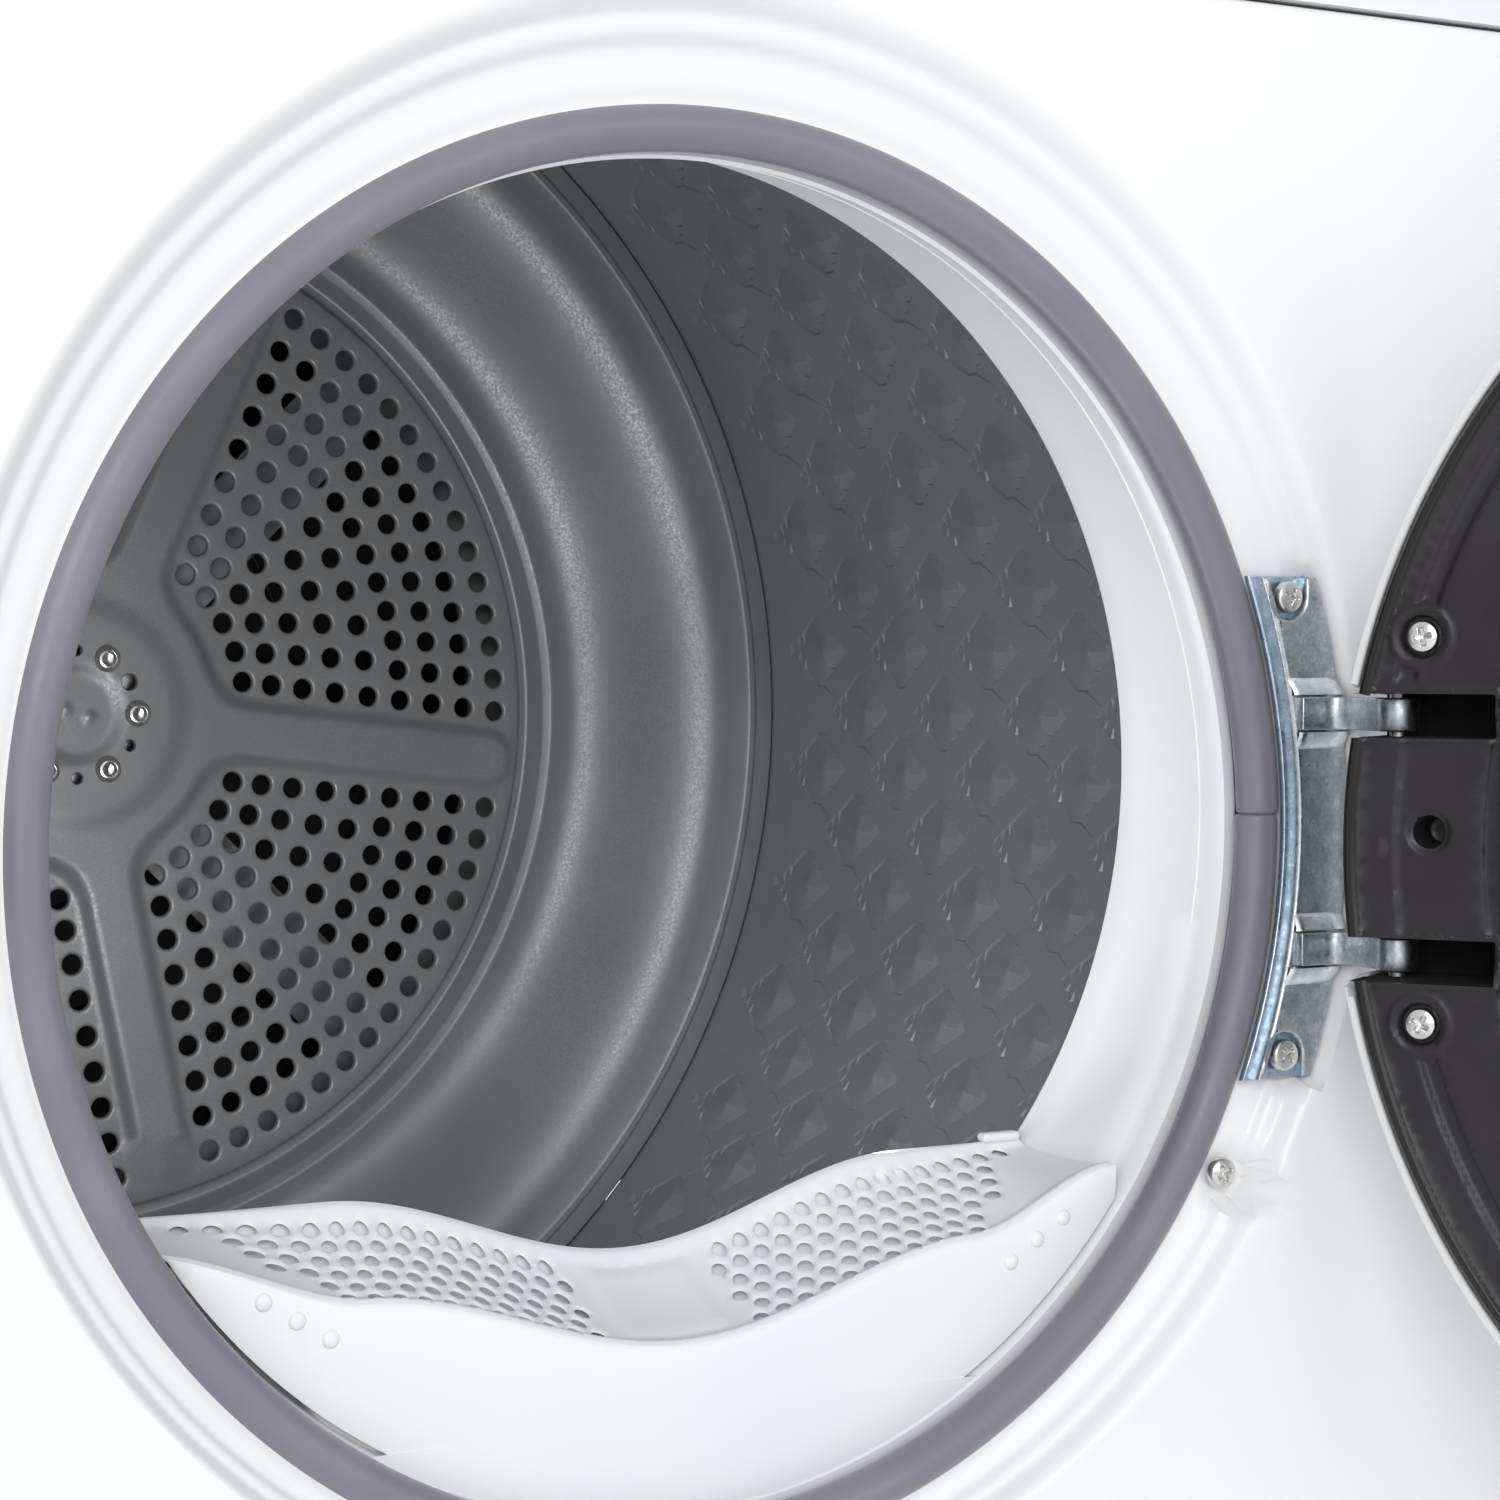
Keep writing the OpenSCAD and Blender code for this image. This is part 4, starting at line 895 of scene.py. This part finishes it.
front = new_piece("front_sheet", front_panel(), "cabinet", "white_enamel", ["front_panel"], sharp=50)
back_side = front.modifiers.new("sheet", "SOLIDIFY")
back_side.thickness = 0.9 * MM
back_side.offset = -1

# ---------- hinge bracket and its screws ----------

BRACKET_SCREWS = [(187.8, MOUTH_Z + 65), (187.0, MOUTH_Z - 67)]
ARM_FACE = FRONT_Y + 1.2
NOTCH_R = 6.4


def arc_at(r, height):
    """Point of the circle of radius r about the mouth's centre, at a height from that centre."""
    return math.sqrt(r * r - height * height), MOUTH_Z + height


def bracket_outline(r0, r1, low, high, notches=False):
    """Curved strip beside the mouth, with a round notch at each end for its screw."""
    inner = [arc_at(r0, h) for h in np.linspace(low, high, 25)]
    outer = [arc_at(r1, h) for h in np.linspace(high, low, 25)]
    ends = []
    for (x, z), h, way in zip(BRACKET_SCREWS, (high, low), (1, -1)):
        half_turn = [(x - way * NOTCH_R * math.cos(a), z - way * NOTCH_R * math.sin(a))
                     for a in np.linspace(0, math.pi, 11)]
        corners = [(x - way * NOTCH_R, MOUTH_Z + h)], [(x + way * NOTCH_R, MOUTH_Z + h)]
        ends.append(corners[0] + half_turn + corners[1] if notches else [])
    return np.array(inner + ends[0] + outer + ends[1])


def arm_strap(z):
    """Strap bent out of the bracket: flat on it, round the bend and out to the eye of the hinge pin."""
    inner, back, thick = 190.6, ARM_FACE, 3.0
    x0, x1 = HINGE[0] - thick / 2, HINGE[0] + thick / 2
    outline = rounded([(inner, back), (x0, back), (x0, HINGE[1] + 1), (x1, HINGE[1] + 1), (x1, back + thick),
                       (inner, back + thick)], [0.5, 5.0, 0, 0, 7.0, 0.5], 7, closed=True)
    ends = (z - ARM_H / 2, z + ARM_H / 2)
    eye = lying(circle(6, 0, 0, 40), *ends, holes=[circle(2.75, 0, 0, 28)], round_edge=0.5)
    return join(lying(outline, *ends, round_edge=0.5), moved(eye, (HINGE[0], HINGE[1], 0)))


def arm_ramp(z):
    """The plate swells up above and below each strap to meet it."""
    section = ((10.6, 5), (10.2, 3.9), (9.2, 3.4), (6.4, 1.7), (5.4, 1.5), (5.0, 4))
    radii = (192.0, 192.8, 195, 200, 205, 209.2, 210)
    parts = []
    for side in (-1, 1):
        rows = []
        for dz, y in section:
            at = [arc_at(r, z - MOUTH_Z + side * dz)[0] for r in radii]
            rows.append([[x, FRONT_Y + y + (x in (at[0], at[-1])), z + side * dz] for x in at])
        parts.append(grid(np.array(rows)))
    return join(*parts)


def bracket_plate():
    return prism(bracket_outline(191.8, 210.3, -73.6, 70.6, True), FRONT_Y + 4, FRONT_Y + 9, round_edge=1.3)


def bracket_flange():
    return prism(bracket_outline(189.2, 210.5, -74, 71), FRONT_Y + 7.6, FRONT_Y + 9.8, round_edge=0.5)


new_piece("bracket_plate", bracket_plate(), "cabinet", "zinc", ["hinge_bracket"], sharp=50)
new_piece("bracket_flange", bracket_flange(), "cabinet", "zinc_blue", sharp=50)
new_piece("bracket_arms", join(*[arm_strap(z) for z in ARM_Z]), "cabinet", "zinc", sharp=50)
# the ramps get the lighter zinc copy, a painted highlight
new_piece("bracket_ramps", join(*[arm_ramp(z) for z in ARM_Z]), "cabinet", "zinc_painted_highlight", sharp=60)


def mouth_screws():
    parts = [pan_head(x, z, FRONT_Y + 5.6, -1, turn=0.4 + 0.5 * k) for k, (x, z) in enumerate(BRACKET_SCREWS)]
    parts.append(pan_head(*PANEL_SCREW, FRONT_Y + 11.8, -1, turn=1.1))
    return join(*parts)


new_piece("mouth_screw_heads", mouth_screws(), "cabinet", "chrome_screw", ["hinge_screws"], sharp=60)

# ---------- lint filter ----------

FILTER_HALF = 131.0
FILTER_REAR_Y = MOUTH_Y - 0.8
FILTER_RUN = 36.0


def filter_rear(x):
    """Height of the rear edge, with its dip in the middle."""
    dip = 10 * (1 + np.cos(np.radians(2 * np.clip(x, -90, 90))))
    return AXIS_Z - 119.5 - dip


def filter_point(x, t):
    """Place on the slope, t = 0 at the rear lip and 1 at the front lip."""
    end = smooth_step(np.abs(x) / FILTER_HALF, 0.66, 1.0)
    drop = 20 - 17 * end
    y = FILTER_REAR_Y - FILTER_RUN * t
    z = filter_rear(x) - drop * t ** 0.8 - 1.4 * np.sin(np.clip(t, 0, 1) * math.pi)
    x = x * (1 + 0.075 * t) - 11.5 * smooth_step(-x, 88, FILTER_HALF)
    lip = 1.5 * np.exp(-((t - 0.045) / 0.045) ** 2) + 0.9 * np.exp(-((t - 0.96) / 0.03) ** 2)
    return np.stack([x, y, z + lip], -1)


def filter_holes():
    """Rows of round holes, shorter towards the front, with a smooth patch in the middle."""
    found = []
    for row in range(6):
        s = 5.8 + row * 5.2
        along = (np.arange(-19, 20) + 0.5 * (row % 2)) * 6.7
        found += [(x, s) for x in along if 21 < abs(x) < 128 - 1.1 * s]
    return found


def lint_screen():
    """Sloping screen with its holes, lips and middle patch, drawn flat and then bent."""
    outline = rectangle(-FILTER_HALF, FILTER_HALF, 0, FILTER_RUN)
    dense = [np.linspace(a, b, n, endpoint=False)
             for a, b, n in zip(outline, np.roll(outline, -1, 0), (110, 18, 110, 18))]
    holes = [circle(2.05, x, s, 18) for x, s in filter_holes()]
    rims = [circle(r, x, s, 18) for x, s in filter_holes() for r in (2.2, 2.6)]
    lips = [np.linspace((-130, s), (130, s), 150) for s in (0.7, 1.4, 2.3, 3.2, 4.4, 33.4, 34.2, 35.0, 35.5)]
    flat, faces = relief(np.concatenate(dense), holes, rims + lips, 2.6)
    x, s = flat.T
    points = filter_point(x, s / FILTER_RUN)
    for hole_x, hole_s in filter_holes():
        points[:, 2] -= 0.6 * (1 - smooth_step(np.hypot(x - hole_x, s - hole_s), 2.0, 2.65))
    patch = (1 - smooth_step(np.abs(x), 13, 17)) * smooth_step(s, 4.5, 6.5) * (1 - smooth_step(s, 30, 33))
    points[:, 2] += 0.9 * patch
    return points, faces


def filter_body():
    """Rear edge, front wall with its studs, the tab and the part that drops into the pocket."""
    xs = np.linspace(-FILTER_HALF, FILTER_HALF, 160)
    rear, front = filter_point(xs, 0 * xs), filter_point(xs, 0 * xs + 1)
    edge = ((0, 0), (0.8, -0.2), (1.3, -0.9), (1.4, -2.2), (1.4, -6.0), (-0.9, -6.0))
    parts = [grid(np.array([rear + [0, dy, dz] for dy, dz in edge]))]
    x, y, z = front.T
    floor_z = MOUTH_Z - np.sqrt(np.maximum(177.2 ** 2 - x ** 2, 0)) + 0.6
    wall = [front]
    for share, push in ((0.02, 0.6), (0.05, 0.9), (0.3, 0.9), (0.62, 0.7), (1.0, 0.3)):
        wall.append(np.stack([x, y - push, z + (np.minimum(floor_z, z) - z) * share], 1))
    parts.append(grid(np.array(wall)))
    for side in (-1, 1):
        for k in range(3):
            stud = lathe([(0.01, -1.9), (1.6, -1.8), (2.3, -1.2), (2.6, 0)], AXIS_Z - 136 - 5.5 * k,
                         side * (122 - 9 * k), 20)
            parts.append(moved(stud, (0, y[0], 0)))
    tab = rectangle(118.5, 131.5, FILTER_REAR_Y - 3.4, FILTER_REAR_Y + 1.2, 1.2, 3)
    parts.append(lying(tab, AXIS_Z - 119.0, AXIS_Z - 116.2, round_edge=1.2))
    foot = middle_box(108.5, 13.3, 5)
    parts.append(lying(foot, AXIS_Z - 204, AXIS_Z - 160, round_edge=1.5))
    under = [filter_point(xs, 0 * xs + t) - [0, 0, 3.0] for t in np.linspace(0.05, 0.95, 8)]
    return join(*parts, grid(np.array(under)))


new_piece("filter_screen", lint_screen(), "lint_filter", "white_plastic", ["lint_filter"], sharp=50)
new_piece("filter_shell", filter_body(), "lint_filter", "white_plastic", sharp=50)

# ---------- door, drawn closed and then swung open ----------

SLOT_HALF = 6.2
SLOT_X = 172.0
DOOR_SCREWS = [(192.8, MOUTH_Z + 53.5), (192.8, MOUTH_Z - 54.0)]
DOOR_SCREWS += [(201.5 * math.cos(math.radians(a)), DOOR_Z + 201.5 * math.sin(math.radians(a)))
                for a in (75, 120, 150, 210, 240, 285)]
DIMPLE = (190.6, MOUTH_Z - 0.5)
PLUG_R = 168.0


def door_outline():
    """Circle with the two arm slots cut in from its edge."""
    lower, upper = sorted(ARM_Z)

    def arc(z0, z1, turns=0):
        a0, a1 = (math.asin((z - DOOR_Z) / DOOR_R) for z in (z0, z1))
        a1 += 2 * math.pi * turns
        n = max(3, int(DOOR_R * abs(a1 - a0) / 2.6))
        return circle_points(DOOR_R, DOOR_Z, np.linspace(a0, a1, n))

    def slot(z):
        low, high, mouth = z - SLOT_HALF, z + SLOT_HALF, DOOR_R - 1.5
        path = rounded([(mouth, low), (SLOT_X, low), (SLOT_X, high), (mouth, high)], [0, 1, 1, 0], 3)
        dense = [np.linspace(a, b, max(1, int(np.linalg.norm(b - a) / 2.4)), endpoint=False)
                 for a, b in zip(path[:-1], path[1:])]
        return np.concatenate(dense + [path[-1:]])

    return np.concatenate([arc(upper + SLOT_HALF, lower - SLOT_HALF, 1), slot(lower),
                           arc(lower + SLOT_HALF, upper - SLOT_HALF), slot(upper)])


def slot_distance(x, z):
    """Distance outwards from the nearest arm slot."""
    best = np.full(np.shape(x), 1e9)
    for centre in ARM_Z:
        dx = np.maximum(SLOT_X - x, 0)
        dz = np.maximum(np.abs(z - centre) - SLOT_HALF, 0)
        best = np.minimum(best, np.hypot(dx, dz))
    return best


def door_height(x, z):
    """Relief of the inner frame towards the drum: lip, groove, bosses, steps and the recessed hole."""
    r = np.hypot(x, z - DOOR_Z)
    height = 1.3 * smooth_step(r, 210.6, 212.0) - 0.9 * smooth_step(r, 213.4, DOOR_R)
    between = (x > 0) & (z < ARM_Z[0]) & (z > ARM_Z[1])
    boss = np.full(np.shape(x), 1e9)
    for sx, sz in DOOR_SCREWS:
        boss = np.minimum(boss, np.hypot(x - sx, z - sz))
    inner, outer = np.where(z > DOOR_Z, 200.2, 196.8), np.where(z > DOOR_Z, 205.2, 201.0)
    groove = smooth_step(r, inner - 0.7, inner + 0.7) - smooth_step(r, outer - 0.7, outer + 0.7)
    edge_bead = np.exp(-((r - inner + 1.5) / 0.7) ** 2) + np.exp(-((r - outer - 1.5) / 0.7) ** 2)
    away = smooth_step(boss, 8.5, 10.5) * ~between * smooth_step(slot_distance(x, z), 2, 6)
    height += (-1.1 * groove + 0.35 * edge_bead) * away
    height += 0.55 * np.exp(-((boss - 8.2) / 0.8) ** 2) - 3.0 * (1 - smooth_step(boss, 5.4, 6.2))
    height -= between * 0.7 * (1 - smooth_step(r, 199.2, 200.6)) + 0.7 * (1 - smooth_step(r, 174.6, 176.0))
    hole = np.hypot(x - DIMPLE[0], z - DIMPLE[1])
    height -= 14.0 * (1 - smooth_step(hole, 3.6, 4.7)) + 0.9 * (1 - smooth_step(hole, 4.8, 6.8))
    height += 0.5 * np.exp(-((slot_distance(x, z) - 1.1) / 0.6) ** 2) * (r < 211)
    return height


# where the relief bends: radii of the door's rings, of the screw bosses and of the dimple
BEND_R = (174.5, 175.2, 176.0, 195.3, 196.1, 196.8, 197.5, 199.5, 200.2, 200.9, 201.7, 202.5, 204.5, 205.2,
          205.9, 206.7, 210.6, 211.1, 211.6, 212.1, 213.2, 213.9)
BOSS_R = (2.5, 5.2, 5.6, 6.0, 6.4, 7.3, 8.0, 8.8, 9.6, 10.6)
DIMPLE_R = (1.5, 3.2, 3.7, 4.2, 4.7, 5.3, 6.0, 6.8, 7.5)


def door_face():
    """Inner frame with its relief, its outer skirt and the plug round the window."""
    outline = door_outline()
    extra = [ring_points(r, 2.4, 0, DOOR_Z) for r in BEND_R]
    extra += [ring_points(r, 1.1, x, z) for x, z in DOOR_SCREWS for r in BOSS_R]
    extra += [ring_points(r, 0.9, *DIMPLE) for r in DIMPLE_R]
    for z in ARM_Z:
        for gap in (0.6, 1.1, 1.7, 2.4):
            end, low, high = SLOT_X - gap, z - SLOT_HALF - gap, z + SLOT_HALF + gap
            extra += [np.linspace((end, side), (210, side), 30) for side in (low, high)]
            extra.append(np.linspace((end, low), (end, high), 10))
    flat, faces = relief(outline, [circle(PLUG_R + 0.2, 0, MOUTH_Z, 240)], extra, 4.5)
    y = DOOR_IN + door_height(*flat.T)
    face = np.stack([flat[:, 0], y, flat[:, 1]], 1), faces
    edge = face[0][:len(outline)]
    skirt = grid(np.array([edge - [0, d, 0] for d in (0, 0.5, 3, 8, 15.5)]), wrap_v=True)
    plug = rounded([(PLUG_R + 0.3, -0.8), (PLUG_R, 11.8), (157, 11.8), (150, 3), (148.2, -6), (148.2, -21),
                    (151.5, -21)], [0, 3, 2.5, 4, 2, 0.6, 0], 5) + [0, DOOR_IN]
    return join(face, skirt, lathe(plug, MOUTH_Z, 0, 240))


def arm_pockets():
    """Unlit, near-black lining of the two slots the hinge arms reach into: painted shade for the dark inside
    the slots.
    """
    parts = []
    for z in ARM_Z:
        low, high, end, mouth = z - SLOT_HALF + 0.06, z + SLOT_HALF - 0.06, SLOT_X + 0.06, 212.0
        path = [(mouth, low), (end, low), (end, high), (mouth, high)]
        parts.append(grid(np.array([[[x, y, h] for x, h in path] for y in (DOOR_IN - 1.2, DOOR_IN - 33)])))
        parts.append(grid(np.array([[[x, DOOR_IN - 33, h] for x in (end, mouth)] for h in (low, high)])))
    return join(*parts)


def arm_angles(radius):
    """Angles for a lathe about the door's centre that meet both edges of each arm slot."""
    n = 480
    marks = [math.asin((z + side * SLOT_HALF - DOOR_Z) / radius) for z in ARM_Z for side in (-1, 1)]
    even = [a for a in 2 * math.pi * np.arange(n) / n
            if all(abs((a - m + math.pi) % (2 * math.pi) - math.pi) > math.pi / n for m in marks)]
    return sorted(even + [m % (2 * math.pi) for m in marks])


def clear_of_arms(points, faces, depth):
    """Leaves out the faces that lie across an arm slot, as far down as the given Y."""
    x, y, z = np.array([points[f].mean(0) for f in faces]).T
    beside = np.min([np.abs(z - arm) for arm in ARM_Z], 0)
    across = (beside < SLOT_HALF) & (x > SLOT_X) & (y > depth)
    return points, [f for f, gone in zip(faces, across) if not gone]


def door_lip():
    """Glossy band along the edge of the inner frame, open at the arm slots."""
    edge = DOOR_R + 0.12
    profile = rounded([(211.2, 1.0), (211.9, 1.7), (213.6, 1.7), (edge, 0.7), (edge, -8)],
                      [0, 0.5, 0.8, 0.7, 0], 4) + [0, DOOR_IN]
    return clear_of_arms(*lathe(profile, DOOR_Z, angles=arm_angles(DOOR_R)), HINGE[1] - 40)


new_piece("door_frame", on_door(door_face()), "door", "door_dark", ["door_inner_frame"], sharp=45)
new_piece("door_arm_pockets", on_door(arm_pockets()), "door", "pocket_painted_shade")
# the lip's near-black is its glossy black plus painted shade
new_piece("door_lip", on_door(door_lip()), "door", "lip_black_painted_shade", sharp=60)


def door_screw_heads():
    return join(*[pan_head(x, z, DOOR_IN - 3.0, 1, turn=0.2 + 0.9 * k, tall=2.9)
                  for k, (x, z) in enumerate(DOOR_SCREWS)])


new_piece("door_screw_heads", on_door(door_screw_heads()), "door", "chrome_screw", ["door_screws"], sharp=60)


def door_ring():
    """White outer ring, cut lower beside the hinge and open at the arm slots."""
    outer, low = RING_R, DOOR_IN - 21
    profile = rounded([
        (outer - 3.4, DOOR_IN - 16), (outer - 3.4, DOOR_IN - 2.4), (outer - 0.8, DOOR_IN - 2.4),
        (outer, DOOR_IN - 5.5), (outer, DOOR_IN - 13), (outer, DOOR_IN - 20), (outer, DOOR_OUT + 19),
        (outer - 6.5, DOOR_OUT + 6), (outer - 15, DOOR_OUT + 0.8), (177.5, DOOR_OUT + 0.1),
        (174.2, DOOR_OUT + 1.5), (174.2, DOOR_OUT + 8), (outer - 16, DOOR_OUT + 8)],
        [0, 0.9, 1.0, 1.2, 0, 0, 3, 7, 7, 3, 1.5, 0.5, 0], 5)
    points, faces = lathe(profile, DOOR_Z, angles=arm_angles(RING_R))
    x, y, z = points.T
    beside = (1 - smooth_step(np.abs(z - MOUTH_Z + 2.5), 41, 42.5)) * (x > 0)
    points[:, 1] = y - beside * np.maximum(y - low, 0)
    return clear_of_arms(points, faces, HINGE[1] - 15)


new_piece("door_rim", on_door(door_ring()), "door", "white_plastic", ["door_outer_ring"], sharp=45)

# ---------- controls and rear ----------

RIBS = 45


def round_face(node):
    """Middle, radius and front of a round control."""
    low, high = box(node)
    return (low[0] + high[0]) / 2, (low[2] + high[2]) / 2, (high[0] - low[0]) / 2, low[1]


def program_knob():
    """Knob with a ribbed grip and a dished face."""
    cx, cz, r, face = round_face("program_knob")
    # radius, distance behind the face, how much the ribs cut in
    rows = np.array([
        (r - 1.5, 19.6, 0), (r - 0.2, 19.3, 0), (r, 18.6, 0), (r, 17, 0), (r - 0.1, 16.4, 1),
        (r - 0.5, 9, 1), (r - 0.9, 3, 1), (r - 1.2, 1.6, 0.3), (r - 2.2, 0.4, 0), (r - 3.4, 0.05, 0),
        (r - 5, 0.3, 0), (r - 8, 1.2, 0), (9, 1.8, 0), (0.05, 1.9, 0)])
    points = []
    for a in 2 * math.pi * np.arange(360) / 360:
        reach = rows[:, 0] - 0.35 * (1 + math.cos(RIBS * a)) * rows[:, 2]
        points.append(around(reach, face + rows[:, 1], a, cz, cx))
    return grid(np.array(points), wrap_u=True)


def button_cap(node, r):
    cx, cz, _, face = round_face(node)
    profile = rounded([(r, FRONT_Y - 0.5), (r, face), (r - 2.0, face + 0.1), (r * 0.5, face + 0.7),
                       (0.05, face + 0.8)], [0, 1.1, 0.6, 1, 0], 4)
    return lathe(profile, cz, cx, 72)


def bar_mark(x, z, angle, long, wide, y, tall=0.25):
    """Thin raised bar on a face that looks forward."""
    c, s = math.cos(angle), math.sin(angle)
    flat = rectangle(-long / 2, long / 2, -wide / 2, wide / 2, wide * 0.3, 2)
    return prism(flat @ [[c, s], [-s, c]] + [x, z], y - tall, y)


def dial_marks():
    """Ticks round the knob, every fourth one longer."""
    cx, cz, r, _ = round_face("program_knob")
    angles = 2 * math.pi * np.arange(16) / 16
    return join(*[bar_mark(x, z, a, 3.6 if k % 4 else 5.0, 1.1, FRONT_Y - 2)
                  for k, (a, (x, z)) in enumerate(zip(angles, circle(r + 6.5, cx, cz, 16)))])


def knob_pointer():
    cx, cz, _, face = round_face("program_knob")
    return bar_mark(cx, cz + 17, math.pi / 2, 9, 1.8, face + 1.6, 1.5)


# places of the seven bars, from the top round to the middle one, and which of them a figure lights
BARS = [(0.5, 1, 0), (1, 0.75, 1), (1, 0.25, 1), (0.5, 0, 0), (0, 0.25, 1), (0, 0.75, 1), (0.5, 0.5, 0)]
LIT = {0: (0, 1, 2, 3, 4, 5), 1: (1, 2), 2: (0, 1, 3, 4, 6)}


def display_segments():
    """Time shown in seven-segment figures."""
    low, high = box("display_window")
    tall, wide, y = 19.0, 10.5, low[1]
    x0, z0 = (low[0] + high[0]) / 2 - 24, (low[2] + high[2]) / 2 - tall / 2
    parts = []
    for place, figure in ((0, 1), (19, 2), (35, 0)):
        for u, v, upright in [BARS[k] for k in LIT[figure]]:
            long = (tall / 2 if upright else wide) - 2.0
            x, z = x0 + place + u * wide, z0 + v * tall
            parts.append(bar_mark(x, z, math.pi / 2 * upright, long, 1.9, y, 0.12))
    parts += [bar_mark(x0 + 14.8, z0 + v * tall, 0, 1.9, 1.9, y, 0.12) for v in (0.3, 0.7)]
    return join(*parts)


new_piece("knob_shell", program_knob(), "program_knob", "knob_silver", ["program_knob"], sharp=50)
new_piece("knob_pointer", knob_pointer(), "program_knob", "black_plastic")
for node, r in (("power_button", 9), ("start_button", 13), ("option_button_1", 7), ("option_button_2", 7)):
    new_piece(node + "_cap", button_cap(node, r), node, "knob_silver", [node], sharp=50)
new_piece("dial_marks", dial_marks(), "cabinet", "black_plastic")
new_piece("display_segments", display_segments(), "cabinet", "display_glow")


def rear_screw_heads():
    """Screws round the rear duct's flange and down both edges of the rear panel."""
    low, high = box("rear_panel")
    duct = list(circle_points(209, AXIS_Z, np.radians(np.arange(-60, 181, 40))))
    duct += [(-209, 360), (-209, 200), (-209, 60), (-31, 60), (-31, 200), (-120, 37)]
    edge = [(x, z) for x in (low[0] + 8, high[0] - 8) for z in np.linspace(low[2] + 20, high[2] - 20, 6)]
    rows = ((duct, 1.4, 0.7), (edge, -0.1, 0.9))
    return join(*[pan_head(x, z, high[1] + lift, 1, turn=turn * k, tall=2.4)
                  for places, lift, turn in rows for k, (x, z) in enumerate(places)])


new_piece("rear_screw_heads", rear_screw_heads(), "cabinet", "chrome_screw", sharp=60)

# ---------- camera, light and floor ----------

def camera():
    data = bpy.data.cameras.new("camera")
    data.lens = 82.1
    data.sensor_width = 36
    data.clip_start, data.clip_end = 0.05, 50
    made = bpy.data.objects.new("camera", data)
    made.location = (-0.4536, -1.0521, 0.5359)
    made.rotation_euler = (math.radians(88.26), 0, math.radians(-31.16))
    bpy.context.scene.collection.objects.link(made)
    bpy.context.scene.camera = made


def soft_light(name, place, aim, size, power):
    data = bpy.data.lights.new(name, "AREA")
    data.shape = "RECTANGLE"
    data.size, data.size_y = size
    data.energy = power
    made = bpy.data.objects.new(name, data)
    made.location = place
    made.rotation_euler = (Vector(aim) - Vector(place)).to_track_quat("-Z", "Y").to_euler()
    bpy.context.scene.collection.objects.link(made)
    return made


def floor():
    edge, z = 14.0, cad_low[2]
    corners = [(-edge, -edge, z), (edge, -edge, z), (edge, edge, z), (-edge, edge, z)]
    mesh = bpy.data.meshes.new("floor")
    mesh.from_pydata(corners, [], [[0, 1, 2, 3]])
    made = bpy.data.objects.new("floor", mesh)
    bpy.context.scene.collection.objects.link(made)
    mesh.materials.append(FINISHES["floor_pale"])


camera()
floor()
world = bpy.data.worlds.new("studio")
world.use_nodes = True
world.node_tree.nodes["Background"].inputs["Color"].default_value = (0.95, 0.97, 1.0, 1)
world.node_tree.nodes["Background"].inputs["Strength"].default_value = 0.75
bpy.context.scene.world = world
soft_light("key", (-1.7, -2.8, 1.5), (0, -0.1, 0.5), (1.8, 1.8), 42)
soft_light("fill", (1.2, -3.0, 1.2), (0, 0, 0.5), (2.0, 1.6), 16)
soft_light("rear", (0.8, 3.0, 2.2), (0, 0, 0.5), (2.0, 2.0), 40)
drum_lamp = soft_light("drum_lamp", (-0.03, -0.215, 0.385), (0.03, 0.2, 0.66), (0.24, 0.12), 0.64)
drum_lamp.visible_camera = False
bpy.context.scene.view_settings.view_transform = "Standard"

# ---------- CAD nodes that stay as they are get their finish ----------

NODE_FINISH = {
    "white_enamel": ["side_panel_left", "side_panel_right", "top_panel"],
    "white_plastic": ["control_fascia", "tank_front", "kick_panel"],
    "galvanised": ["rear_panel", "rear_duct_cover"],
    "black_plastic": ["base_tray", "fan_wheel", "fan_housing", "drain_pump", "power_inlet", "exchanger_cover",
                      "idler_pulley", "door_lock", "tank_tray"],
    "dark_glass": ["display_window", "door_glass"],
    "clear_window": ["door_window"],
    "board_green": ["control_board"],
    "tank_plastic": ["water_tank"],
    "lever_blue": ["cover_lever_left", "cover_lever_right"],
    "aluminium_fins": ["evaporator_coil", "condenser_coil"],
    "compressor_black": ["compressor"],
    "steel": ["drive_motor", "motor_pulley", "idler_arm", "idler_spring", "drum_shaft", "roller_axles",
              "hinge_pins", "door_hook", "rear_bearing"],
    "black_rubber": ["feet", "drive_belt", "roller_left", "roller_right"],
    "felt": ["rear_felt_seal", "front_felt_seal"],
}
for kind, names in NODE_FINISH.items():
    for name in names:
        mesh = frame["nodes"][name].data
        mesh.materials.clear()
        mesh.materials.append(FINISHES[kind])
        mesh.shade_smooth()
        mesh.set_sharp_from_angle(angle=math.radians(32))

EDGE_ROUND = {"top_panel": 2.5, "side_panel_left": 0.6, "side_panel_right": 0.6, "control_fascia": 1.2,
              "tank_front": 0.9, "kick_panel": 0.9, "rear_duct_cover": 0.6, "exchanger_cover": 1.0,
              "cover_lever_left": 0.8, "cover_lever_right": 0.8, "base_tray": 0.8}
for name, width in EDGE_ROUND.items():
    edge = frame["nodes"][name].modifiers.new("edge", "BEVEL")
    edge.width = width * MM
    edge.segments = 3
    edge.limit_method = "ANGLE"
    edge.angle_limit = math.radians(50)
    edge.harden_normals = True
